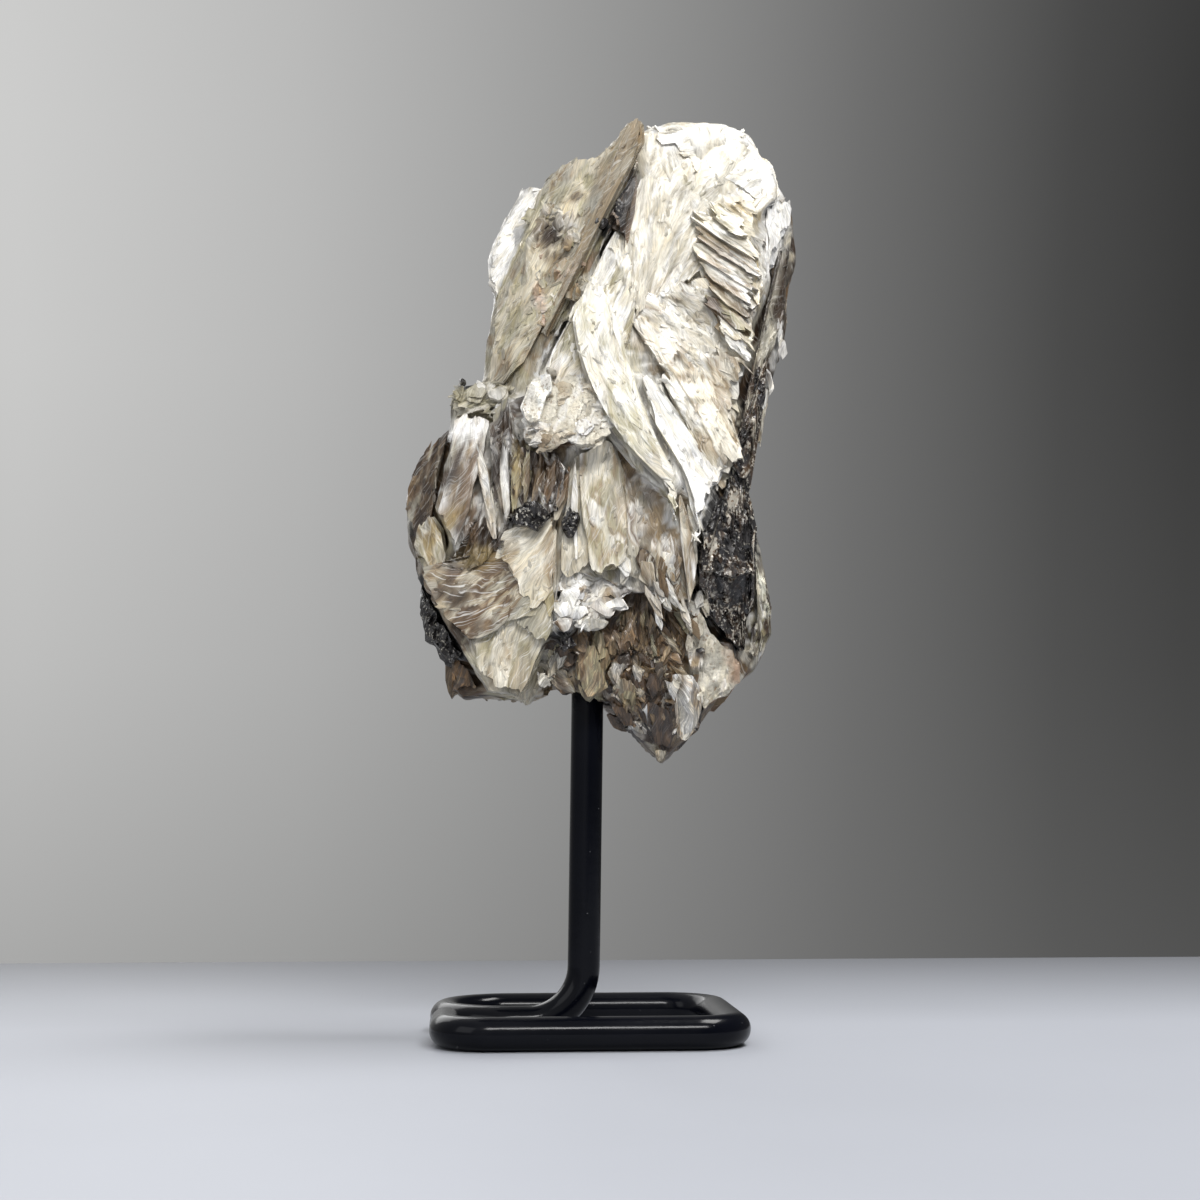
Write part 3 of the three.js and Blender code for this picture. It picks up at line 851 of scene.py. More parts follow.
# crumbled lumps on the slab
leftSlab.leaves(
    40, (-17.3, -0.85, 0.25), (-12, 142), (0, 166), (2.5, 5.5), (3, 7), (-41, 14, 30), (11, 9, 50),
    "grey tan, pink tan, beige grey, tan grey, olive grey, beige silver", 17, proud=(-0.5, 0), flake=0.8,
    flakeSize=(2.2, 1.6), patch=1.6,
)
leftSlab.finish()

crown = Pile("crown_and_shoulder", "flakyMica", "flaky")
# a sunken plate in the recess beside the ridge, coloured dark and black to stand for the shade in it:
# painted shade
crown.book([
    (10.4, 171), (10.8, 166), (9.6, 160), (8.4, 153.6), (6.2, 156.4), (3.2, 160), (4.4, 164), (7.3, 169),
], plane=(-12.8, 0.1, 0.03), seed=16, grain=66, sheets=3, thick=6, tints="dark black brown dark",
   stepWidth=0.9, step=0.5, shed=0)
shoulderPlane = (-14.4, 0.12, 0.12)
crown.book([
    (9.5, 140), (7, 147.5), (5, 152), (3.5, 156), (5, 160), (8.5, 168), (11.5, 173), (11.5, 181.5),
    (16, 182), (21, 183), (29, 182.5), (36, 175), (39.5, 168.5), (37, 165), (31, 163.5), (26, 157.5),
    (24, 150.5), (18.5, 146), (13.5, 143),
], plane=(-15.2, 0.1, 0.15), seed=4, fan=(8, 131), sheets=7, thick=20,
   tints="cream beige silver beige grey", flake=0.2, flakeSize=(10, 3), step=0.25, stepWidth=2.6,
   splinter=0.8, shed=0.3)
# the cap along the top edge; its white is partly painted highlight where the top catches the light
crown.book([
    (12, 181.5), (13.5, 182.5), (15.5, 181.5), (18.5, 182.5), (21.5, 183), (26, 183.4), (29.5, 183),
    (32.5, 181), (34.5, 178), (37, 175.5), (39, 172), (39.5, 168.5), (38, 166), (35.5, 164.5),
    (32, 165.5), (27.5, 169), (21.5, 171.5), (19.5, 173), (16.5, 176.5), (13.5, 176),
], plane=(-15.45, 0.1, 0.15), seed=5, grain=28, sheets=3, thick=5, tints="white silver cream silver beige",
   jag=0.8, patch=1.1, flake=0.25, flakeSize=(6, 3), shed=0.3, ragged=0.7, splinter=2, step=0.2, wave=0.8)
crown.book([
    (6, 141), (8, 147), (18.5, 150), (23.5, 151), (25, 158), (31, 163), (37, 158), (37, 148),
    (35.5, 142.5), (35, 137.5), (32.5, 132), (30, 126), (29, 120.5), (30.5, 114.5), (29, 108.5),
    (25.5, 115), (22, 117), (17, 125), (13, 130.5), (8, 138),
], plane=shoulderPlane, seed=6, grain=-48, sheets=7, thick=24,
   tints="cream silver beige silver tan cream white", patch=1.3, wave=1.7, flake=0.4, flakeSize=(6, 3),
   shed=0.7)
crown.book([
    (14, 130), (16.5, 134.5), (22.5, 136), (29, 134), (32, 131), (30, 126), (29, 120.5), (30.5, 114.5),
    (29, 108.5), (26.5, 106.5), (22, 111), (19, 117), (16, 124),
], plane=(-15.9, 0.12, 0.12), seed=11, grain=-60, sheets=3, thick=4, tints="cream silver beige tan cream",
   patch=1.3, shed=0.6, flakeSize=(6, 3), wave=1.6, jag=1.3, ragged=2.6)
crown.book([
    (22, 162), (24, 166.5), (30, 167.5), (34.5, 166.5), (35.6, 163), (35, 158), (35.8, 152), (36, 144),
    (33, 143), (30, 150), (26, 156),
], plane=(-14.6, 0.12, 0.12), seed=15, fan=(20, 172), sheets=4, thick=10,
   tints="cream golden beige cream silver", patch=1.1, shed=0.3)
ribLook = {"proud": 0.3, "lift": 0.8}
ribShape = [(0, 0.35), (0.12, 0), (0.9, 0), (1, 0.3), (0.96, 0.9), (0.6, 1), (0.15, 1), (0.03, 0.8)]
ribs = [  # start, length, width, fall and colours of the shingled ribs across the shoulder
    (25.3, 166.2, 11, 4.4, -36, "golden beige olive cream"),
    (21.2, 164.4, 17.5, 3.2, -34, "cream silver grey"),
    (21.4, 161.4, 18, 3.6, -34, "silver tan grey"),
    (21.9, 157.8, 17, 3.8, -35, "grey silver tan grey"),
    (23, 154, 15, 3.4, -37, "tan grey silver"),
    (23.6, 150.8, 14, 3, -41, "dark tan grey"),
    (24.2, 147.6, 13.5, 3.4, -44, "brown dark olive tan"),
    (25.4, 143.8, 12, 3.2, -47, "tan beige silver"),
    (26.8, 140.2, 9.5, 2.6, -48, "silver white cream"),
]
for i, (x, z, length, width, fall, shades) in enumerate(ribs):  # each has its lower edge proud
    turn = math.radians(fall)
    down = (math.sin(turn), -math.cos(turn))
    rise = [shoulderPlane[k + 1] - ribLook["proud"] * down[k] for k in (0, 1)]
    depth = shoulderPlane[0] - ribLook["lift"]
    depth += (shoulderPlane[1] - rise[0]) * x + (shoulderPlane[2] - rise[1]) * (z - layout["faceHeight"])
    crown.book(
        laidShape(ribShape, x, z, turn, length, width), plane=(depth, *rise), seed=20 + i, grain=fall,
        sheets=2, thick=3, fine=(0.3, 0.7), inset=0.2, tints=shades, ragged=3, splinter=0.9, flake=0.2,
        patch=1.3, stepWidth=0.8, step=0.4, wave=0.3, shed=0.2, wander=0.2,
    )
crown.finish()

rightEdge = Pile("right_edge", "flakyMica", "flaky")
# a plate facing right, its white pushed up to stand for the light it catches: painted highlight
rightEdge.book([
    (36, 166.5), (38.5, 168), (41.5, 168.6), (42.4, 165), (41.4, 161), (39.8, 158), (38.2, 153.5),
    (36.4, 152), (35.4, 154.5), (36, 158), (35, 162),
], plane=(-43.6, 1.05, 0.05), seed=7, grain=-70, sheets=3, thick=3, style="silky",
   tints="white white silver", patch=0.6, shed=0.4)
rightEdge.book([
    (39.4, 169.5), (41.4, 168.4), (43.5, 166), (44, 162.5), (43, 156.5), (41.5, 150.5), (42, 147),
    (41, 142), (39.5, 138), (38, 133), (36.5, 128), (34, 123), (32, 118), (30, 114.5), (28.5, 118),
    (30, 126), (32.5, 134), (34.5, 140), (35, 145), (36.5, 150), (38, 156), (38.5, 162), (38.5, 169),
], plane=(-40.6, 1.05, 0.05), seed=8, grain=-104, sheets=8, thick=16, tints="dark brown dark dark grey",
   patch=1.8, step=0.8, stepWidth=1.2, ridge=0.5, flake=0.6, side="brown dark tan", shed=1)
# pale leaves along the edge
for i, (x, z) in enumerate([(38.6, 141), (39.4, 137), (36.4, 129.5), (35.2, 126)]):
    rightEdge.book([
        (x - 0.9, z + 2.6), (x + 0.9, z + 2.2), (x + 1.1, z - 0.5), (x + 0.2, z - 3.4), (x - 1, z - 0.5),
    ], plane=(-41.6, 1.05, 0.05), seed=60 + i, grain=-105 + 6 * i, style="leaf", tints="silver white")
rightEdge.finish()

# the blades' whites are partly painted highlight, where the plates catch the light
blades = Pile("bright_blades", "silkyMica", "silky")
blades.book([
    (-9, 123), (-9.5, 129), (-7, 136), (-3, 143), (0, 150), (3, 157), (7, 160.5), (10, 153), (11, 140),
    (7, 128), (2, 121), (-4, 121),
], plane=(-15.4, -0.05, 0.2), seed=13, grain=66, sheets=4, style="flaky",
   tints="olive cream white silver cream", patch=1.2, shed=0.6)
blades.book([
    (1.1, 151), (5, 145.8), (7, 140), (8.8, 134), (10.4, 127), (12.3, 122), (15, 116.2), (17.7, 110.3),
    (17.5, 104), (17, 99.5), (16, 104), (13.5, 107.5), (10.4, 111), (7, 115.5), (4.2, 122), (1.5, 128),
    (-0.6, 134.5), (-2.6, 138), (-4.6, 139), (-3.1, 143.8), (-0.8, 148),
], plane=(-18.8, 0.2, 0.2), seed=9, arc=(45, 144), sheets=5, thick=8, bulge=0.8,
   tints="cream silver olive silver white", wave=0.4, stepWidth=1.8, shed=0.4)
blades.book([
    (9.5, 128.5), (11.5, 130.5), (13.5, 129.5), (15.5, 127), (19.5, 121), (22, 117), (25, 115), (29, 112),
    (28.5, 109.5), (26.5, 106), (24.5, 103), (23, 99), (21.5, 94.5), (20.5, 96.5), (19, 100.5),
    (18.5, 104.5), (17, 109.5), (15, 114), (12.5, 117), (11, 121), (9.5, 125),
], plane=(-20.6, 0.35, 0.2), seed=10, grain=-57, sheets=5, thick=8, tints="white silver white", step=0.4,
   stepWidth=1.8, shed=0.4)
blades.book([
    (17.3, 106), (19, 106.5), (19.5, 102.5), (22, 96.5), (21.8, 89.5), (20.5, 84), (19, 86), (18, 94.5),
    (17.3, 100.5),
], plane=(-14.6, 0.1, 0.1), seed=12, grain=-80, sheets=3, thick=6, tints="white cream tan white",
   stepWidth=0.7, shed=0.2)
blades.finish()

# the lower front: dark ribs and books at the left, the feathered plume, centre plates and brown leaves
leftBooks = Pile("left_books", "flakyMica", "flaky")
leftBooks.book([
    (-28, 122), (-28.5, 127), (-27.5, 130), (-26, 130.8), (-24.5, 128), (-21.5, 131), (-17.5, 131.5),
    (-13, 129.5), (-14.5, 126), (-17.5, 122), (-19, 120.5), (-23.5, 123), (-26, 122.5),
], plane=(-7.9, -0.3, 0.1), seed=30, grain=20, sheets=7, thick=9, tints="silver grey olive cream", jag=1,
   ragged=2)
leftBooks.leaves(
    9, (-7.9, -0.3, 0.1), (-27.5, 122), (-16, 129.5), (3, 5), (4, 7), (-15, 25, 20), (30, 25, 60),
    "silver grey, white silver, olive grey", 31,
)
# a curled silky leaf, white at its bend, where the white stains lay a painted highlight
leftBooks.book([
    (-27, 121.5), (-24.4, 123.4), (-20.8, 123), (-18.2, 121), (-19.4, 113.3), (-21.4, 104.4),
    (-24.3, 96.7), (-25.9, 95), (-28.4, 98.6), (-30, 102.6), (-29.4, 105.4), (-28, 110.3), (-27.4, 116.2),
], plane=(-13, -0.3, 0.25), seed=33, grain=66, sheets=5, style="silky", bulge=1.6,
   tints="silver grey brown silver tan", patch=1.8, stepWidth=1.2, step=0.25, wave=0.5, flake=0.1,
   shed=0.1)
leftBooks.book([
    (-27, 121), (-29, 120), (-34, 116), (-35.5, 112), (-37, 108), (-37.6, 104), (-36, 100.5), (-35, 96),
    (-33.5, 92.5), (-29.5, 87.5), (-27, 90), (-27.5, 96.5), (-30, 104), (-29, 109), (-28.5, 113.5),
    (-27.5, 118),
], plane=(-24.8, -0.8, 0.1), seed=36, grain=74, sheets=8, thick=16, tints="dark brown tan dark brown grey",
   side="brown tan dark", patch=1.8, flake=0.3, stepWidth=1.6, shed=0.5)
leftBooks.book([
    (-33.5, 101), (-30, 103), (-27.5, 98), (-26.5, 93), (-26.8, 88.5), (-28.5, 87), (-31, 90),
    (-33.5, 94), (-34.5, 97.5),
], plane=(-12.9, -0.25, 0.1), seed=37, grain=108, sheets=3, thick=5, style="silky",
   tints="beige olive cream golden tan", patch=1.5, stepWidth=1.2, shed=0.2)
leftBooks.finish()

darkRibs = Pile("dark_ribs", "flakyMica", "flaky")
# the white in the ribs' colours, with the white stains over them, stands for the highlights on the rib
# edges: painted highlights
darkRibs.book([
    (-15, 126), (-17, 123), (-19, 118), (-20, 108), (-22.5, 102), (-25, 96), (-25, 90), (-20, 90),
    (-16.5, 94), (-13, 97.5), (-8.5, 100), (-4.8, 100.5), (-3.8, 104), (-3, 107), (-2.5, 109.5),
    (-4.5, 114), (-8.5, 116), (-13, 117.5), (-13.5, 122),
], plane=(-15.6, -0.35, 0.1), seed=40, fan=(-16.5, 150), thick=18,
   tints="dark white brown dark silver dark white olive dark", patch=3.2, ridge=0.9, ridgeWidth=0.8,
   step=0.9, stepWidth=0.9, flake=0.5, wander=0.3, shed=1)
sliverShape = [
    (-0.5, -0.35), (-0.3, -0.6), (0.1, -0.6), (0.46, -0.4), (0.5, 0.1), (0.42, 0.5), (-0.1, 0.6),
    (-0.48, 0.3),
]
slivers = [  # centre, length and colours of the upright slivers that stand out of the dark ribs
    (-19.6, 107, 21, "silver tan"), (-17.6, 111, 20, "dark brown"), (-15.8, 108, 18, "dark silver"),
    (-13.7, 108.5, 15, "olive dark golden"), (-11.5, 109, 13, "brown olive"), (-9.2, 108, 14, "dark tan"),
    (-7, 107.5, 13, "tan brown"), (-4.6, 105, 12, "beige brown"),
]
for i, (x, z, length, shades) in enumerate(slivers):
    lean = math.radians(90 - 1.6 * (x + 13))
    darkRibs.book(
        laidShape(sliverShape, x, z, lean, length, 1.8), plane=(-16.6, -0.35, 0.1), seed=41 + i,
        grain=math.degrees(lean), style="leaf", tints=shades, ragged=3, splinter=0.5, thick=1.6,
        fine=(0.3, 0.7), patch=1.6, stepWidth=0.6,
    )
darkRibs.finish()

plume = Pile("feathered_plume", "featherMica", "silky")
plume.book([
    (-23.5, 76.5), (-23.5, 80), (-20.5, 83.5), (-15.5, 85), (-11, 87), (-6.5, 84.5), (-6, 81),
    (-6.5, 76.5), (-7.5, 73.5), (-9.5, 68.5), (-11.5, 65.3), (-14.5, 65.3), (-17.5, 66.3), (-21, 68.5),
    (-23, 72),
], plane=(-12.4, -0.25, 0.1), seed=50, grain=80, sheets=8, thick=19, splinter=2.5,
   tints="beige olive cream beige tan", flake=0.2, flakeSize=(9, 4), stepWidth=1.6, wave=1.2, patch=1,
   shed=0.2)
plume.book([
    (-34, 92.6), (-33.2, 89.5), (-31.5, 86), (-28.5, 81), (-25.5, 78), (-23, 75.8), (-19.5, 76),
    (-15, 79), (-10, 80), (-6.8, 79), (-5.8, 84.5), (-5.6, 90.5), (-5.8, 99), (-9, 100.5), (-13, 98),
    (-17, 95), (-21.5, 91.2), (-25, 89.4), (-28, 89.4), (-31, 91.8),
], plane=(-13.2, -0.25, 0.1), seed=51, fan=(-3, 98), sheets=5, tints="brown tan beige tan brown grey",
   step=0.2, stepWidth=4.2, ridge=0.3, flake=0.1, ragged=1.4, splinter=2.6, patch=2, wave=1.3, shed=0.3,
   thick=10)
plume.book([
    (-17, 97.4), (-15.6, 98.9), (-12.5, 98.3), (-10.4, 99), (-8.6, 101.6), (-5.6, 101.4), (-5.4, 93),
    (-6, 86), (-8, 82.5), (-11, 82), (-13.5, 86), (-15.5, 90), (-18, 93.5),
], plane=(-15, -0.25, 0.08), seed=52, fan=(-4, 103), sheets=3, thick=2.4, tints="beige cream tan grey",
   flake=0.15, shed=0.2, step=0.15, ragged=1.6)
# a pale greenish plate low in the fan
plume.book([
    (-15.4, 88), (-11.5, 88.5), (-8.4, 86.5), (-6, 83.5), (-6.3, 79), (-7.5, 76), (-11, 77.5), (-14, 80),
    (-16.6, 81.5), (-17, 85),
], plane=(-13.6, -0.25, 0.1), seed=54, grain=75, sheets=2, thick=1.6, tints="olive grey beige", flake=0.15,
   shed=0.1, step=0.15, patch=0.7)
plume.book([
    (-7.8, 87.5), (-6, 88), (-5.9, 84), (-6.9, 80), (-8.3, 82), (-8.6, 85),
], plane=(-14.2, -0.25, 0.1), seed=53, grain=83, sheets=2, thick=1.4, tints="golden olive", flake=0.2,
   shed=0.2, fine=(0.35, 0.6))
plume.finish()

centre = Pile("centre_plates", "silkyMica", "silky")
centre.book([
    (6, 116.5), (7.5, 113), (10.5, 110.5), (13.5, 107.5), (17, 105), (18.5, 97.5), (20.5, 92.5),
    (20.5, 84), (16.5, 84), (13.5, 86.5), (10, 88), (7, 88.5), (5, 92), (5, 104.5),
], plane=(-11.2, 0.05, 0.08), seed=70, grain=88, sheets=7, thick=22,
   tints="grey tan silver brown silver tan", flake=0.3, patch=1.8, stepWidth=1.3, wave=1.2, shed=0.6,
   ridge=0.25, ridgeWidth=0.6)
centre.book([
    (-6, 92), (-5.5, 100.5), (-4.5, 110), (-3, 115), (1.5, 116), (1.5, 92), (-1, 88.5), (-4.5, 88),
], plane=(-11.8, 0.05, 0.08), seed=71, grain=92, sheets=5, thick=18, tints="cream beige silver olive",
   patch=1.2, stepWidth=1.2, shed=0.5, ridge=0.2, ridgeWidth=0.6)
centre.book([
    (-2.6, 113.5), (0, 114.5), (3.5, 117), (6, 116.5), (7.5, 111.5), (8.5, 107), (9, 102.5), (8.5, 97),
    (9.2, 95), (8.3, 91.5), (6.5, 90), (3, 88.5), (0, 90), (-1.2, 96.5), (-1.8, 104),
], plane=(-13, 0.05, 0.08), seed=72, sheets=4, thick=6, bulge=0.6, lift=0.5,
   tints="cream beige olive tan silver", patch=1.5, stepWidth=1.2, step=0.2, splinter=2.2, ridge=0.2,
   ridgeWidth=0.6, shed=0.3)
centre.book([
    (-2.8, 111), (-1.6, 112), (-1.2, 104), (-0.9, 96), (-1.4, 90.5), (-2.4, 92), (-2.9, 100),
], plane=(-13.2, 0.05, 0.08), seed=73, grain=91, sheets=2, thick=2, tints="white silver", patch=0.6,
   stepWidth=0.8, fine=(0.3, 0.8), shed=0)
centre.leaves(
    12, (-12.2, 0.05, 0.08), (6, 86), (18, 92), (2, 4), (4, 8), (5, -5, 0), (25, 20, 25),
    "tan cream, silver grey, dark tan, white silver", 74,
)
centre.finish()

brownLeaves = Pile("brown_leaves", "brownMica", "flaky")
brownPlane = (-12.3, 0.1, -0.1)
brownLeaves.book([
    (-1, 80), (2.5, 83), (5.5, 87), (8, 89.5), (14, 89.5), (17, 86), (20, 83), (21, 77.5), (20.5, 71),
    (17, 65.5), (13.5, 62.5), (9.5, 62), (6, 64), (3, 67), (0, 68), (-4, 67), (-7, 69), (-8.5, 73),
    (-6, 77),
], plane=brownPlane, seed=80, fan=(10, 98), sheets=7, thick=24, tints="brown dark brown tan dark",
   patch=1.6, flake=0.8, flakeSize=(5, 2.2), wave=1.6, shed=1)
brownShades = "brown dark, brown tan, dark brown, olive brown, tan brown"
paleShades = "silver grey, beige tan, white cream, olive grey"
# a feathery dark fan at the top
brownLeaves.leaves(
    46, brownPlane, (3, 75), (18, 88), (1.6, 3.6), (7, 12), (5, 5, 0), (24, 10, 12), brownShades, 81,
    toward=(10, 98), point=0.5, proud=(0, 1.6), ragged=2.4, splinter=0.6,
)
# crumpled leaves with brighter edges across the middle
brownLeaves.leaves(
    46, brownPlane, (0, 67), (19, 79), (2.4, 4.5), (5, 9), (8, 6, 10), (26, 18, 32), brownShades, 82,
    proud=(0.2, 1.8), ragged=2, splinter=0.7,
)
# brighter leaves low at the right
brownLeaves.leaves(
    9, brownPlane, (13, 70), (20, 79), (1.6, 3), (4, 8), (25, 10, 30), (20, 20, 30), paleShades, 83,
    proud=(1, 2),
)
# grey and brown leaves beside the rod
brownLeaves.leaves(
    16, brownPlane, (-8.5, 67), (0, 78), (3, 5), (4, 8), (-5, -5, 10), (25, 20, 35),
    "grey brown, olive grey, brown dark, grey silver", 84, point=0.3,
)
# a golden leaf whose point hangs in front of the rod
brownLeaves.book([
    (-2.5, 69), (-2.3, 71.5), (-1.8, 75.5), (0.5, 78), (2.5, 76), (3.5, 72), (4.6, 68.5), (2.5, 66.4),
    (0.6, 64.9), (-1, 66.5),
], plane=(-15.2, 0.05, -0.1), seed=85, fan=(3, 86), sheets=3, thick=3, style="leaf", bulge=0.7,
   tints="brown tan olive tan", fine=(0.35, 0.6), ridge=0.3, patch=1.4)
brownLeaves.leaves(
    8, brownPlane, (-2.5, 73), (3, 80), (2.5, 4), (5, 8), (-5, 0, 10), (20, 15, 15),
    "olive tan, olive brown, tan brown", 86, toward=(0.5, 60), proud=(1.5, 3),
)
brownLeaves.finish()

tipLeaves = Pile("tip_leaves", "brownMica", "flaky")
tipLeaves.book([
    (4, 69), (10, 72), (18.5, 72), (23, 68), (23.5, 61.5), (20.5, 58.5), (17.8, 56), (15.8, 54),
    (14.2, 54), (12, 57.5), (9, 61.5), (7, 61.5), (5, 64),
], plane=(-38, 0.05, -0.58), seed=90, grain=100, sheets=5, thick=11, tints="dark brown tan dark", patch=1.6)
tipLeaves.leaves(
    46, (-38, 0.05, -0.58), (6, 60), (21, 71), (1.8, 4), (4, 9), (5, -26, 0), (28, 14, 12),
    "tan brown, brown dark, silver tan, dark brown, dark tan, cream tan", 91, point=0.8, toward=(14.8, 48),
    ragged=2,
)
tipOutlines = [  # colours and outline of each larger leaf
    ("golden beige tan", [(5.5, 70), (8.5, 70.5), (9.8, 67), (8.8, 63.8), (6.5, 65.5), (5, 68)]),
    ("white silver", [(15, 69.5), (18.8, 69.5), (17.2, 65), (16, 66.5)]),
    ("silver tan white grey", [
        (16.5, 70.5), (21, 71), (22.8, 66), (22.2, 61), (19.8, 57.5), (17.6, 58.5), (18, 64),
    ]),
    ("black dark brown", [
        (9.5, 65), (13, 66.2), (16.6, 64), (17.6, 60), (16.2, 56.2), (13.4, 57), (11.6, 60.5),
    ]),
    ("beige tan", [(13.4, 56.6), (15.6, 56.4), (15.8, 54.6), (14.6, 53.1), (13.2, 54)]),
    ("white silver", [(10.5, 63.5), (12, 66), (12.4, 63), (11.6, 61)]),
    ("dark brown", [(5, 66.5), (9, 63.5), (9.6, 60.8), (7.4, 60.6), (4.8, 64)]),
]
for i, (shades, outline) in enumerate(tipOutlines):
    tipLeaves.book(
        outline, plane=(-39.3 - 0.25 * (i % 3), 0.05, -0.58), seed=92 + i, grain=100 - 4 * i, thick=1.2,
        style="leaf", tints=shades, bulge=0.5, fine=(0.35, 0.6), patch=1.2, jag=0.3, ragged=0.7,
    )
tipLeaves.finish()

silver = Pile("silver_flakes", "flakyMica", "flaky")
silverPlane = (-2.5, 0.1, 0.3)
silver.book([
    (-6.5, 85), (-6.8, 81.5), (-6, 79), (-2.5, 78), (-1, 76), (1, 79.5), (3.5, 82), (5, 84.5), (7, 87),
    (5.5, 91.5), (2.5, 92), (0.5, 92), (-5, 91),
], plane=silverPlane, seed=100, grain=60, sheets=4, tints="white silver white grey tan", flake=0.4,
   flakeSize=(4, 2.6), wave=1.4, shed=0.2, patch=1.3)
silver.leaves(
    36, silverPlane, (-5.2, 79.5), (6, 91.5), (4, 7.5), (3, 5), (0, 8, 12), (12, 16, 22),
    "white silver, white tan, silver grey, silver brown, white silver", 101, proud=(0, 0.9), flake=0.1,
    ridge=0.08, ragged=0.6,
)
silver.leaves(
    14, (-12.2, 0.05, 0.08), (13, 81), (19.5, 90), (1, 2.2), (5, 9), (15, 5, 24), (22, 10, 10),
    "white silver, silver grey, tan silver, brown tan", 102,
)
silver.finish()

crust = Pile("pale_crust", "paleCrust", "crumbly")
crust.book([
    (-12.3, 115), (-13, 119.5), (-11, 123), (-7.5, 126), (-4.5, 129), (-2, 130), (0.5, 128.5),
    (2.8, 125.5), (4.2, 121), (3.8, 116.5), (1.5, 114), (-1, 113), (-3, 114), (-5, 115.5), (-8.5, 114),
], plane=(-17.1, -0.1, 0.3), seed=110, grain=70, sheets=3, thick=15, bulge=1,
   tints="cream silver cream white beige cream", flake=0.6, flakeSize=(5, 3), ridge=0.15)
crust.book([
    (-12.5, 122), (-11.4, 127), (-9, 128.8), (-6.3, 128.6), (-5.6, 126.5), (-6.3, 124), (-7.5, 122),
    (-8.6, 118.6), (-10.8, 117.6), (-12.5, 118.6),
], plane=(-19.6, -0.1, 0.3), seed=111, grain=80, sheets=2, thick=5, flake=0.8, tints="white cream white",
   patch=0.6)
crust.leaves(
    22, (-17.1, -0.1, 0.3), (-10, 114.5), (3.5, 126), (4, 7.5), (3, 5), (-5, 12, 20), (12, 16, 40),
    "cream white, cream beige, cream tan, beige tan", 112, proud=(0, 0.9),
)
crust.finish()

lowRight = Pile("low_right_plate", "paleCrust", "crumbly")
lowRight.book([
    (18.5, 77.5), (19.5, 83), (22, 86), (24, 82), (26.5, 78), (29, 76.8), (31.8, 73.5), (31.3, 70.5),
    (28.5, 66), (24, 63.6), (22, 62.6), (19.8, 67.5), (18.7, 73.5),
], plane=(-21.4, 0.4, -0.1), seed=120, grain=75, thick=16, tints="cream grey beige silver tan",
   side="tan brown pink", shed=0.8)
lowRight.leaves(
    9, (-21.4, 0.4, -0.1), (20, 76), (23, 86), (2, 4), (4, 7), (20, 0, 5), (25, 20, 20),
    "cream beige, silver grey, tan brown", 121,
)
lowRight.finish()

bookEdge = Pile("right_book_edge", "flakyMica", "flaky")
bookEdge.book([
    (31.8, 97), (33.5, 99.3), (35, 96.5), (36.4, 93), (37.8, 90), (38.7, 85.5), (38.2, 80), (36.2, 75),
    (34.5, 72.6), (32, 72.4), (30.5, 76), (32, 84.5), (32.2, 91),
], plane=(-27.9, 0.9, 0), seed=130, grain=95, sheets=7, thick=16, tints="dark olive white grey dark cream",
   side="grey olive tan dark", patch=2.4, stepWidth=0.8, step=0.7, flake=0.6, flakeSize=(2.4, 1.2),
   shed=1.5)
bookEdge.finish()

tail = Pile("low_left_tail", "brownMica", "flaky")
tail.book([
    (-28.5, 76), (-28.2, 69), (-27.5, 66.8), (-25, 66.8), (-23, 65.9), (-20.5, 66), (-20, 70), (-22, 74),
    (-26, 78),
], plane=(-7.2, -0.2, 0), seed=140, grain=80, sheets=5, thick=11, tints="brown tan dark brown", patch=1.4)
tail.finish()

# black tourmaline
tourmaline = Pile("black_tourmaline", "blackTourmaline", "granular", "tourmaline")
tourmaline.book([
    (29, 118.5), (31.2, 118), (32.6, 112), (32.2, 106.5), (33.6, 103), (34, 98), (33.2, 90), (33, 82),
    (32, 76), (30, 75.5), (28.5, 77), (26, 78), (22.5, 81.5), (21, 86), (20.6, 94), (22.3, 98),
    (24.6, 105), (27.3, 111.5),
], plane=(-29.6, 0.9, 0), seed=150, grain=80, sheets=3, thick=17,
   tints="black dark black brown black dark", side="black dark", patch=2)
tourmaline.book([
    (20.8, 97), (22.4, 100.5), (24.4, 104.5), (27, 109), (28, 114), (29.5, 118.5), (31.5, 117),
    (32.6, 112), (32.2, 106.5), (33.6, 103), (34, 98), (33.4, 90), (28, 88), (21, 90),
], plane=(-33.3, 0.8, 0.05), seed=152, grain=75, sheets=3, thick=10, tints="black dark black brown black",
   side="black dark", patch=2)
# it slopes back below
tourmaline.book([
    (20.8, 96), (27, 95), (33.6, 97), (33.4, 84), (31.5, 78.5), (28.5, 81), (26, 79.5), (22.8, 83),
    (21, 88),
], plane=(-49.4, 0.85, -0.55), seed=154, grain=78, sheets=3, thick=8,
   tints="black dark black brown black dark", side="black dark", patch=2)
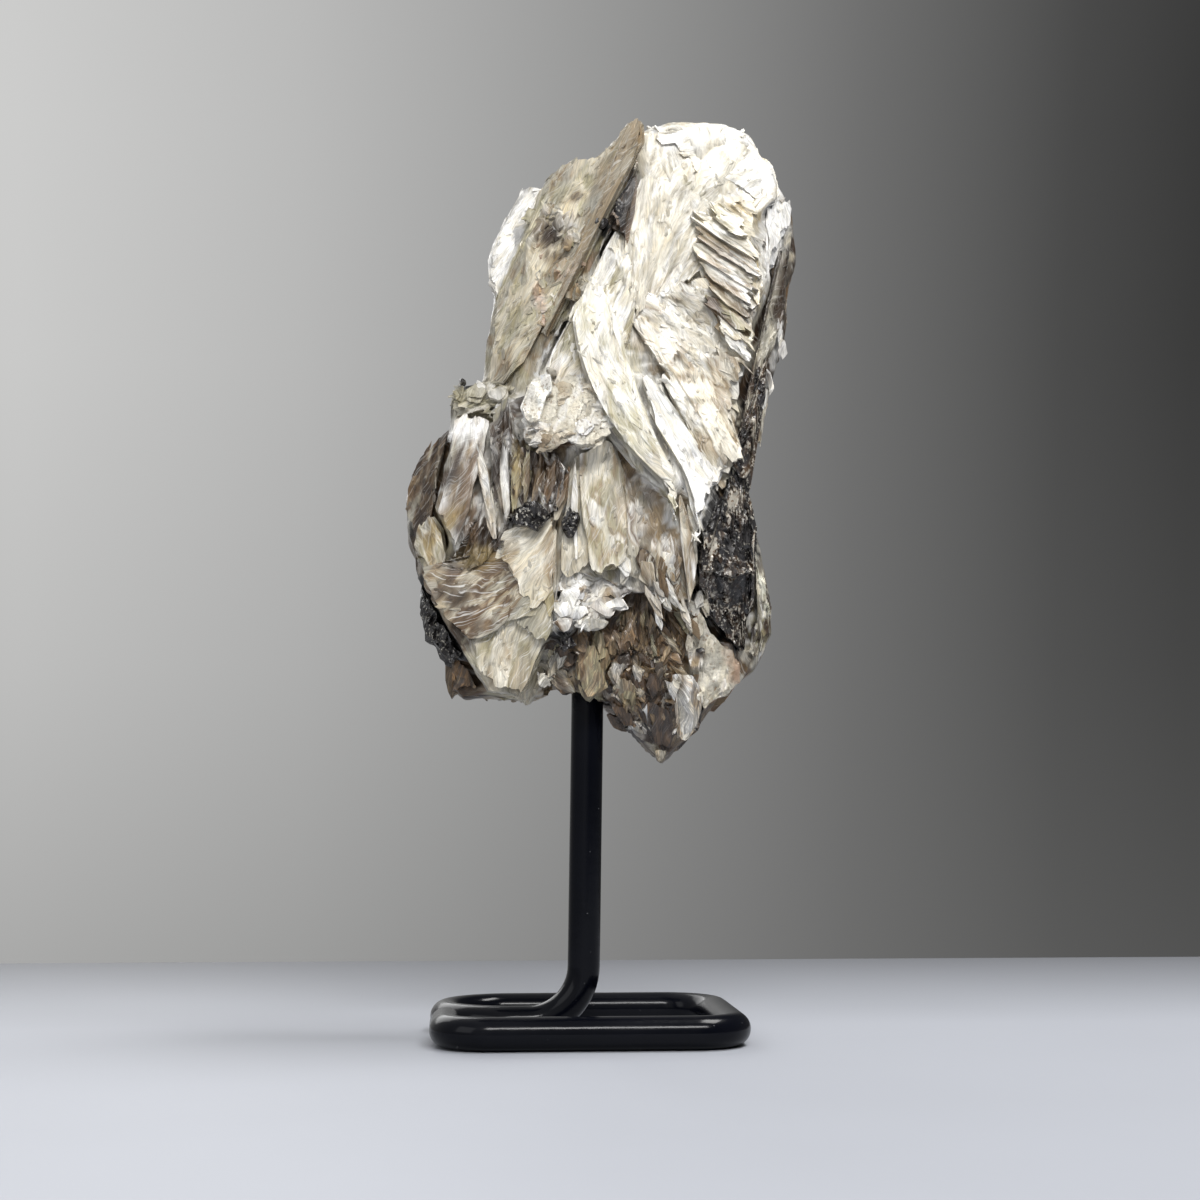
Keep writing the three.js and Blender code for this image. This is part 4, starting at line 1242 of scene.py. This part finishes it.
# the dark band runs on up the flank
tourmaline.book([
    (27.5, 113), (29, 118), (31.2, 124), (33, 129.5), (35, 134.5), (36.8, 134), (35.8, 128), (34.4, 122),
    (33, 116), (32.6, 108), (29, 108),
], plane=(-38.4, 0.9, 0), seed=153, grain=78, sheets=3, tints="black dark black brown black",
   side="black dark")
tourmaline.book([
    (-33, 89.5), (-34, 86.5), (-33.6, 83), (-32.4, 78.5), (-29.5, 75), (-28, 73), (-26, 72.2),
    (-23.5, 75), (-26, 79), (-28.5, 82.5), (-31, 87),
], plane=(-6.4, -0.4, 0.2), seed=151, grain=60, sheets=3, bulge=1.4, tints="black black")
crystals = [  # centre, width and height of the single crystals
    (-10.6, -15.6, 100.8, 8, 6.8), (-13.6, -14.4, 100.4, 3.4, 2.8), (-3, -14.9, 99.6, 4, 7),
    (6.4, -10.4, 162.5, 2.4, 5.5), (2.9, -11.2, 159.8, 2.6, 2.6), (34.2, -6.4, 127, 2.6, 10),
    (32.6, -7.4, 120, 2.4, 9), (-25.2, -0.4, 130, 1.6, 1.8), (-6.9, -14.8, 129.4, 2.8, 2.2),
    (-3.6, -12.4, 76.5, 3.8, 3.6), (20.3, -3.4, 60.2, 3.2, 1.8), (22.4, -9.4, 75.4, 2, 1.6),
]
for i, (x, y, z, width, height) in enumerate(crystals):
    rng = np.random.default_rng(160 + i)
    tourmaline.book(
        leafShape(width, height, rng), pose=((x, y, z), 0, 0, 0), seed=160 + i, sheets=1, thick=2.4,
        bulge=0.9, fine=(0.3, 0.3), flake=0.7, wave=0.4, jag=0.5, tints="black black",
    )
tourmaline.finish()

# the back and sides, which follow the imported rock's own books
backBooks = Pile("back_books", "flakyMica", "flaky")
backBooks.book([
    (-14, 160), (-4, 173), (6, 177), (12, 179), (22, 178), (28, 177), (33, 169), (38, 160), (38.5, 148),
    (38, 138), (34, 125), (30, 114), (18, 110), (4, 108), (-6, 118), (-14, 126), (-15, 144),
], plane=(17.2, 0.05, 0.1), seed=200, grain=75, thick=16, behind=True,
   tints="silver cream beige grey cream tan", wave=2.2, step=0.8, stepWidth=3.2, lift=0.6, ragged=2.5,
   splinter=2, shed=0.8)
backBooks.book([
    (-4, 168), (4, 172), (12, 168), (19, 158), (24, 146), (27, 132), (26, 118), (22, 104), (17, 100),
    (15, 108), (14, 118), (14, 130), (11, 142), (5, 152), (-2, 160),
], plane=(18.4, 0.15, 0.05), seed=201, arc=(-30, 118), sheets=5, thick=8, behind=True, style="silky",
   tints="white silver cream beige", bulge=0.6, step=0.5, stepWidth=2, shed=0.6, ragged=2)
backBooks.book([
    (-26, 116), (-18, 122), (-10, 127), (4, 125), (16, 122), (25, 114), (31, 108), (32, 97), (32, 88),
    (29, 80), (25, 73), (14, 70), (6, 68), (-8, 70), (-20, 73), (-26, 84), (-30, 94), (-29, 106),
], plane=(19.4, -0.08, 0), seed=202, grain=82, thick=15, behind=True, tints="tan grey beige cream brown",
   patch=1.4, wave=2, step=0.7, stepWidth=2.4, shed=0.8)
backBooks.book([
    (-31, 110), (-24, 118), (-17, 124), (-11, 118), (-8, 112), (-9, 96), (-10, 82), (-17, 78), (-24, 76),
    (-29, 84), (-33, 92), (-33, 102),
], plane=(6.8, -0.4, 0), seed=203, grain=70, thick=14, behind=True, tints="brown tan dark grey", patch=1.5,
   shed=1.5)
backBooks.book([
    (-20, 84), (-17, 96), (-8, 104), (2, 106), (10, 101), (14, 92), (12, 80), (6, 74), (-6, 72),
    (-15, 75),
], plane=(21.2, 0, 0.1), seed=204, fan=(2, 62), sheets=3, thick=5, behind=True, style="silky",
   tints="cream beige tan silver", ragged=2, shed=0.6, step=0.5)
backBooks.book([
    (-18, 118), (-10, 123), (-2, 122), (5, 117), (9, 108), (7, 99), (1, 95), (-6, 98), (-13, 96),
    (-19, 104),
], plane=(20.6, 0.05, 0.05), seed=206, fan=(-8, 150), sheets=3, thick=6, behind=True,
   tints="dark silver brown tan dark golden", patch=2.6, ridge=0.6, step=0.8, stepWidth=1, shed=0.6,
   ragged=2.4)
backBooks.leaves(
    40, (18, 0.1, 0.07), (0, 128), (33, 172), (2.5, 5), (14, 26), (180, 0, -14), (6, 5, 9),
    "silver cream, cream beige, beige grey, cream tan", 208, proud=(-0.6, 0.4), ragged=4,
)
backBooks.leaves(
    50, (19, -0.03, 0.03), (-22, 77), (26, 104), (2.5, 5), (8, 18), (180, 0, 10), (9, 8, 24),
    "cream beige, silver grey, tan brown, beige olive", 209, proud=(-0.9, 0.3), ragged=3,
)
backBooks.book([
    (10, 181), (16, 183), (22, 183.2), (28, 183), (33.5, 181), (39, 173), (40, 166), (30, 160), (14, 168),
    (11, 175),
], plane=(6.5, 0.1, 0.15), seed=205, grain=20, sheets=4, thick=8, behind=True, tints="white cream beige",
   shed=1.5)
sideBooks = [  # centre, facing, width, height, grain, style and colours
    ((-31.5, 8, 100), (-80, 0, 0), 14, 30, 80, "flaky", "brown dark tan grey"),
    ((-28.5, 6, 84), (-85, -8, -10), 18, 20, 100, "flaky", "tan beige olive"),
    ((40, 8, 156), (84, 2, 0), 17, 32, 92, "flaky", "grey brown beige dark"),
    ((36.5, 9, 132), (80, -8, 0), 17, 30, 85, "silky", "beige tan cream grey"),
    ((32, 12, 106), (86, -2, 0), 14, 24, 95, "granular", "black dark brown black"),
    ((34, 12, 86), (84, -6, 0), 14, 22, 88, "flaky", "dark olive grey tan"),
    ((24, 12, 178), (120, 58, 10), 20, 18, 60, "flaky", "white cream silver"),
    ((18, 2, 60), (40, -50, 0), 14, 14, 90, "flaky", "brown tan dark"),
    ((-16, 6, 68), (-20, -72, 0), 20, 16, 30, "flaky", "brown tan grey"),
    ((24, 4, 70), (60, -50, 0), 16, 16, 60, "flaky", "tan beige brown"),
]
for i, (place, facing, width, height, grain, style, shades) in enumerate(sideBooks):
    rng = np.random.default_rng(220 + i)
    backBooks.book(
        leafShape(width, height, rng), pose=(place, *facing), seed=220 + i, grain=grain, sheets=4, thick=6,
        style=style, tints=shades, ragged=2, jag=1, fine=(0.5, 0.9),
    )
backBooks.finish()

# the rock's core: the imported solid, rounded off and sunk under the books
coreLook = {
    "voxel": 0.0009, "sink": 1.3, "centre": 3.0, "reach": 25.0, "ridges": 0.8, "ridgeSize": (1.6, 11.0),
    "lumps": 0.7, "lumpSize": (7.0, 6.0), "shade": (0.55, 1.0), "shadeSize": (3.0, 5.0), "shed": 0.6,
}


def nearestTints(hosts, places):
    # the colour of the book nearest to each place
    spots, tints = [], []
    for host in hosts:
        tint = np.empty(len(host.vertices) * 4, np.float32)
        host.attributes["tint"].data.foreach_get("color", tint)
        spots.append(readPlaces(host)[::2])
        tints.append(tint.reshape(-1, 4)[::2, :3])
    spots, tints = np.concatenate(spots), np.concatenate(tints)
    tree = KDTree(len(spots))
    for i, spot in enumerate(spots):
        tree.insert(spot, i)
    tree.balance()
    return tints[[tree.find(place)[1] for place in places]]


def makeCore(hosts, look):
    source = bmesh.new()
    source.from_mesh(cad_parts["mica_rock"].data)
    bmesh.ops.remove_doubles(source, verts=source.verts, dist=1e-6)
    solid = bpy.data.meshes.new("core_solid")
    source.to_mesh(solid)
    source.free()
    holder = addObject("core_holder", solid)
    rounding = holder.modifiers.new("rounding", "REMESH")
    rounding.mode = "VOXEL"
    rounding.voxel_size = look["voxel"]
    mesh = bakeObject(holder)
    places = readPlaces(mesh)
    normals = np.empty(places.size)
    mesh.vertex_normals.foreach_get("vector", normals)
    rock = fromRow(places)
    around = np.arctan2(rock[:, 1] - look["centre"], rock[:, 0] - look["centre"]) * look["reach"]

    def roughness(size, seed, octaves):
        return smoothNoise(around / size[0], rock[:, 2] / size[1], seed, octaves)

    height = look["ridges"] * roughness(look["ridgeSize"], 3, 3)
    height += look["lumps"] * roughness(look["lumpSize"], 5, 2)
    tint = nearestTints(hosts, places)
    places += normals.reshape(-1, 3) * ((height - look["sink"]) * 0.001)[:, None]
    mesh.vertices.foreach_set("co", keepInside(places).ravel())
    grain = np.column_stack([rock[:, 2], around, rock[:, 1] * 0.3])
    along = np.tile([0.0, 0.0, 1.0], (len(rock), 1))
    low, high = look["shade"]
    tint *= (low + (high - low) * (0.5 + 0.5 * roughness(look["shadeSize"], 7, 3)))[:, None]
    writeAttributes(mesh, grain, along, tint, np.full(len(rock), look["shed"]))
    mesh.polygons.foreach_set("use_smooth", np.ones(len(mesh.polygons), bool))
    return mesh


micaPieces = [
    "left_slab", "crown_and_shoulder", "right_edge", "bright_blades", "left_books", "dark_ribs",
    "feathered_plume", "centre_plates", "brown_leaves", "silver_flakes", "right_book_edge",
]
otherPieces = ["back_books", "black_tourmaline", "low_right_plate", "tip_leaves", "low_left_tail"]
micaMeshes = [bpy.data.objects[name].data for name in micaPieces]
otherMeshes = [bpy.data.objects[name].data for name in otherPieces]
addPiece(makeCore(micaMeshes + otherMeshes, coreLook), "rock_core", "flakyMica")


class Tree(Nodes):
    # a Geometry Nodes tree whose inputs are named
    def __init__(self, name, kinds):
        super().__init__(bpy.data.node_groups.new(name, "GeometryNodeTree"))
        sockets = self.tree.interface
        sockets.new_socket("Geometry", in_out="INPUT", socket_type="NodeSocketGeometry")
        self.keys = {}
        for label, kind in kinds.items():
            made = sockets.new_socket(label, in_out="INPUT", socket_type="NodeSocket" + kind)
            self.keys[label.lower()] = made.identifier
        sockets.new_socket("Geometry", in_out="OUTPUT", socket_type="NodeSocketGeometry")
        self.given = self.add("NodeGroupInput").outputs

    def read(self, name, kind="FLOAT_VECTOR"):
        return self.add("GeometryNodeInputNamedAttribute", {"Name": name}, data_type=kind).outputs[0]

    def store(self, geometry, name, value, kind="FLOAT_VECTOR"):
        inputs = {"Geometry": geometry, "Name": name, "Value": value}
        return self.add("GeometryNodeStoreNamedAttribute", inputs, data_type=kind).outputs[0]

    def realize(self, geometry):
        return self.add("GeometryNodeRealizeInstances", {"Geometry": geometry}).outputs[0]

    def close(self, geometry, material):
        inputs = {"Geometry": geometry, "Material": materials[material]}
        coated = self.add("GeometryNodeSetMaterial", inputs).outputs[0]
        self.plug(coated, self.add("NodeGroupOutput").inputs[0])

    def run(self, name, data, look):
        # the evaluated result as a plain mesh
        holder = addObject(name + "_holder", data)
        modifier = holder.modifiers.new(name, "NODES")
        modifier.node_group = self.tree
        for key, value in look.items():
            modifier[self.keys[key]] = value
        return bakeObject(holder)


# loose flakes, scattered by Geometry Nodes over the books
flakeScatter = {
    "density": 420000.0, "seed": 5, "smallest": (0.25, 0.3, 0.6), "largest": (1.2, 1.0, 1.0),
    "lean": (0.18, 0.12, 0.8), "lift": 0.00004,
}
backScatter = {
    "density": 150000.0, "seed": 6, "smallest": (0.4, 0.4, 0.6), "largest": (1.4, 1.1, 1.0),
    "lean": (0.2, 0.14, 0.6), "lift": 0.00004,
}
flakeLook = {"count": 4, "corners": 5, "length": 3.0, "width": 1.2, "thick": 0.09, "shade": (0.66, 1.12)}


def makeFlake(name, look, seed):
    # a small torn flake with a raised middle; its own attribute leaf carries the grain on across it
    rng = np.random.default_rng(seed)
    corners, thick = look["corners"], look["thick"]
    turn = np.linspace(0, 2 * math.pi, corners + 1)[:-1] + rng.uniform(-0.25, 0.25, corners)
    reach = rng.uniform(0.6, 1.1, corners)
    x, y = np.cos(turn) * reach * look["length"] / 2, np.sin(turn) * reach * look["width"] / 2
    rim = np.column_stack([x, y, rng.uniform(-0.4, 0.4, corners) * thick])
    crown = np.array([[0, 0, thick * 1.3], [0, 0, thick * 0.2]])
    points = np.concatenate([rim + (0, 0, thick / 2), rim - (0, 0, thick / 2), crown])
    upper, lower = 2 * corners, 2 * corners + 1
    faces = []
    for i in range(corners):
        j = (i + 1) % corners
        faces += [(i, j, upper), (corners + j, corners + i, lower), (i, corners + i, corners + j, j)]
    mesh = bpy.data.meshes.new(name)
    mesh.from_pydata((points * 0.001).tolist(), [], faces)
    leaf = mesh.attributes.new("leaf", "FLOAT_VECTOR", "POINT")
    leaf.data.foreach_set("vector", points.astype(np.float32).ravel())
    return addObject(name, mesh)


def scatterTree(name, shapes, material):
    tree = Tree(name, {
        "Density": "Float", "Seed": "Int", "Smallest": "Vector", "Largest": "Vector", "Lean": "Vector",
        "Lift": "Float",
    })
    given = tree.given
    density = tree.maths("MULTIPLY", given["Density"], tree.read("shed", "FLOAT"))
    points = {"Mesh": given["Geometry"], "Density": density, "Seed": given["Seed"]}
    points = tree.add("GeometryNodeDistributePointsOnFaces", points).outputs
    # each flake lies on the face along the grain, leans a little and is lifted off
    align = "FunctionNodeAlignRotationToVector"
    upright = tree.add(align, {"Vector": points["Normal"]}, axis="Z").outputs[0]
    laid = {"Rotation": upright, "Vector": tree.read("along")}
    laid = tree.add(align, laid, axis="X", pivot_axis="Z").outputs[0]
    opposite = tree.vectors("MULTIPLY", given["Lean"], (-1, -1, -1))
    leans = {0: opposite, 1: given["Lean"], "Seed": given["Seed"]}
    leans = tree.add("FunctionNodeRandomValue", leans, data_type="FLOAT_VECTOR").outputs[0]
    turn = {"Rotation": laid, "Rotate By": tree.add("FunctionNodeEulerToRotation", {0: leans}).outputs[0]}
    turn = tree.add("FunctionNodeRotateRotation", turn, rotation_space="LOCAL").outputs[0]
    sizes = {0: given["Smallest"], 1: given["Largest"], "Seed": 3}
    sizes = tree.add("FunctionNodeRandomValue", sizes, data_type="FLOAT_VECTOR").outputs[0]
    raised = tree.vectors("SCALE", points["Normal"], given["Lift"])
    lifted = {"Geometry": points["Points"], "Offset": raised}
    lifted = tree.add("GeometryNodeSetPosition", lifted).outputs[0]
    dull, bright = flakeLook["shade"]
    own = {2: dull, 3: bright, "Seed": 8}
    own = tree.add("FunctionNodeRandomValue", own, data_type="FLOAT").outputs[1]
    shade = tree.vectors("SCALE", tree.read("tint", "FLOAT_COLOR"), own)
    lifted = tree.store(lifted, "tint", shade, "FLOAT_COLOR")
    choice = tree.add("GeometryNodeGeometryToInstance")
    for shape in shapes:
        info = tree.add("GeometryNodeObjectInfo", {"Object": shape}).outputs
        tree.plug(info["Geometry"], choice.inputs[0])
    placed = tree.add("GeometryNodeInstanceOnPoints", {
        "Points": lifted, "Instance": choice.outputs[0], "Pick Instance": True, "Rotation": turn,
        "Scale": sizes,
    }).outputs[0]
    grain = tree.vectors("ADD", tree.read("grain"), tree.read("leaf"))
    tree.close(tree.store(tree.realize(placed), "grain", grain), material)
    return tree


def scatterOver(name, hosts, shapes, look):
    # one mesh of all the hosts' faces carries the scatter and is then thrown away
    together = bmesh.new()
    for host in hosts:
        together.from_mesh(host)
    ground = bpy.data.meshes.new(name + "_ground")
    together.to_mesh(ground)
    together.free()
    mesh = scatterTree(name, shapes, "flakyMica").run(name, ground, look)
    mesh.vertices.foreach_set("co", keepInside(readPlaces(mesh)).ravel())
    addPiece(mesh, name, "flakyMica")


flakeShapes = [makeFlake("flake%d" % i, flakeLook, 300 + i) for i in range(flakeLook["count"])]
scatterOver("loose_flakes", micaMeshes, flakeShapes, flakeScatter)
scatterOver("back_flakes", otherMeshes[:1], flakeShapes, backScatter)
for shape in flakeShapes:
    bpy.data.objects.remove(shape)

# the stand, bent from one black rod; metres and radians
stand = {
    "radius": layout["rodRadius"], "width": 0.0548, "front": layout["frontReach"], "back": 0.0265,
    "frontCorner": 0.0082, "backCorner": 0.0104, "freeEnd": -0.0005, "bend": 0.011, "uprightAt": -0.0007,
    "lean": 0.013, "top": 0.084, "sides": 48, "cornerSteps": 15, "bendSteps": 17, "returnSteps": 33,
    # the free end's edge is eased: distance from the end and share of the radius
    "ease": [(0.0, 0.80), (0.0001, 0.88), (0.0003, 0.95), (0.0006, 0.99), (0.001, 1.0)],
}


def rodRoute(s):
    side, half = s["width"] / 2, s["radius"]

    def arc(cx, cy, radius, start, end, steps):
        turns = np.radians(np.linspace(start, end, steps))
        return [(cx + radius * math.cos(a), cy + radius * math.sin(a), half) for a in turns]

    frontX, frontY = side - s["frontCorner"], s["frontCorner"] - s["front"]
    backX, backY = side - s["backCorner"], s["back"] - s["backCorner"]
    turn = s["back"] / 2
    route = [(-side, s["freeEnd"] - step, half) for step, share in s["ease"]]
    route += arc(-frontX, frontY, s["frontCorner"], 180, 270, s["cornerSteps"])
    route += arc(frontX, frontY, s["frontCorner"], 270, 360, s["cornerSteps"])
    route += arc(backX, backY, s["backCorner"], 0, 90, s["bendSteps"])
    route += arc(turn - side, turn, turn, 90, 270, s["returnSteps"])
    end = math.pi / 2 - s["lean"]
    bendTop = half + s["bend"] * (1 - math.cos(end))
    bendX = s["uprightAt"] + s["lean"] * bendTop - s["bend"] * math.sin(end)
    for angle in np.linspace(0, end, s["bendSteps"]):
        route.append((bendX + s["bend"] * math.sin(angle), 0, half + s["bend"] * (1 - math.cos(angle))))
    route.append((s["uprightAt"] + s["lean"] * s["top"], 0, s["top"]))
    return np.array(route) + (armX, armY, 0)


def makeRod(s):
    route = rodRoute(s)
    line = bpy.data.curves.new("rod_line", "CURVE")
    line.dimensions = "3D"
    spline = line.splines.new("POLY")
    spline.points.add(len(route) - 1)
    spline.points.foreach_set("co", np.column_stack([route, np.ones(len(route))]).ravel())
    for point, (step, share) in zip(spline.points, s["ease"]):
        point.radius = share
    tree = Tree("rodTree", {"Radius": "Float", "Sides": "Int"})
    section = {"Resolution": tree.given["Sides"], "Radius": tree.given["Radius"]}
    tube = tree.add("GeometryNodeCurveToMesh", {
        "Curve": tree.given["Geometry"],
        "Profile Curve": tree.add("GeometryNodeCurvePrimitiveCircle", section).outputs[0],
        "Scale": tree.add("GeometryNodeInputRadius").outputs[0], "Fill Caps": True,
    }).outputs[0]
    tree.close(tree.realize(tube), "glossBlackCoat")
    mesh = tree.run("rod", line, {"radius": s["radius"], "sides": s["sides"]})
    mesh.polygons.foreach_set("use_smooth", np.ones(len(mesh.polygons), bool))
    mesh.set_sharp_from_angle(angle=math.radians(50))
    return mesh


addPiece(makeRod(stand), "bent_rod", "glossBlackCoat", "stand_rod")

# stage, lights and camera
stage = {
    "floorColour": (0.345, 0.36, 0.40),
    "floorMottle": (14.0, 0.93),  # size and darkest share
    # painted shade: the floor is darker towards the back
    "floorPaintedShade": [(0.1, 1.0), (0.95, 0.42)],  # brightness by the way back, in fifths of a metre
    "floorFar": 0.19,  # behind the specimen
    "floorNear": -0.75,
    "floorHalfWidth": 0.75,
    "cameraAt": (2.67, -416.6, 47.6),  # in the rock's frame, millimetres
    "cameraPitch": math.radians(5.27),
    "lens": 63.0,
    "sensor": 36.0,
    "nearest": 0.01,
    "backdrop": [  # grey by the direction's x
        (-1, 0.35), (-0.5, 0.45), (-0.2, 0.61), (-0.07, 0.49), (0, 0.40), (0.19, 0.155), (0.28, 0.068),
        (0.34, 0.04), (1, 0.12),
    ],
    # share of the horizon's colour by the direction's height
    "horizon": [(0.0, 0.62), (0.085, 0.52), (0.26, 0.2), (0.4, 0.04), (0.5, 0)],
    "horizonColour": (0.14, 0.14, 0.138),
    "target": (0.0, 0.0, 0.12),  # what the lights face
    "lights": [  # name, place, size, power and colour
        ("key", (0.10, -0.52, 0.52), (0.42, 0.10), 4.0, (1.0, 0.995, 0.985)),
        ("top", (0.30, 0.0, 0.72), (0.35, 0.25), 5.2, (1.0, 0.99, 0.975)),
        ("fill", (-0.60, -0.45, 0.45), (0.5, 0.5), 1.0, (0.97, 0.98, 1.0)),
        ("back", (-0.30, 0.60, 0.42), (0.5, 0.4), 1.6, (1.0, 1.0, 1.0)),
    ],
}


def makeStage():
    floor = Finish("paleFloor")
    place = floor.place()
    size, darkest = stage["floorMottle"]
    darker = tuple(v * darkest for v in stage["floorColour"])
    shade = floor.mix(floor.noise(place, size, 4.0), stage["floorColour"], darker)
    away = floor.add("ShaderNodeSeparateXYZ", {"Vector": place}).outputs["Y"]
    # the floor darkens towards the back: painted shade
    paintedShade = floor.ramp(floor.maths("MULTIPLY", away, 5.0), *stage["floorPaintedShade"])
    material = floor.surface({"Base Color": floor.multiply(shade, paintedShade), "Roughness": 0.6})
    half, near, far = stage["floorHalfWidth"], stage["floorNear"], stage["floorFar"]
    corners = [(-half, near, 0), (half, near, 0), (half, far, 0), (-half, far, 0)]
    mesh = bpy.data.meshes.new("floor")
    mesh.from_pydata(corners, [], [(0, 1, 2, 3)])
    mesh.materials.append(material)
    addObject("floor", mesh)


def makeWorld():
    world = bpy.data.worlds.new("studio")
    world.use_nodes = True
    sky = Nodes(world.node_tree)
    direction = sky.add("ShaderNodeTexCoord").outputs["Generated"]
    axes = sky.add("ShaderNodeSeparateXYZ", {"Vector": direction}).outputs
    side = sky.maths("ADD", sky.maths("MULTIPLY", axes["X"], 0.5), 0.5)
    shade = sky.ramp(side, *((0.5 + x / 2, (v, v, v * 0.99)) for x, v in stage["backdrop"]))
    low = sky.ramp(sky.maths("ADD", axes["Z"], 0.2), *stage["horizon"])
    background = sky.tree.nodes["Background"]
    sky.plug(sky.mix(low, shade, stage["horizonColour"]), background.inputs["Color"])
    background.inputs["Strength"].default_value = 1.0
    bpy.context.scene.world = world


def addSoftLight(name, place, size, power, colour):
    light = bpy.data.lights.new(name, "AREA")
    light.shape = "RECTANGLE"
    light.size, light.size_y = size
    light.energy = power
    light.color = colour
    lamp = addObject(name, light)
    lamp.location = place
    lamp.rotation_euler = (Vector(stage["target"]) - Vector(place)).to_track_quat("-Z", "Y").to_euler()


def makeCamera():
    data = bpy.data.cameras.new("camera")
    data.lens = stage["lens"]
    data.sensor_width = stage["sensor"]
    data.clip_start = stage["nearest"]
    camera = addObject("camera", data)
    camera.location = toRow([stage["cameraAt"]])[0]
    camera.rotation_euler = (math.radians(90) + stage["cameraPitch"], 0, layout["rockTurn"])
    bpy.context.scene.camera = camera


makeStage()
makeWorld()
for given in stage["lights"]:
    addSoftLight(*given)
makeCamera()
bpy.context.scene.view_settings.view_transform = "Standard"
print("stage, lights and camera set")
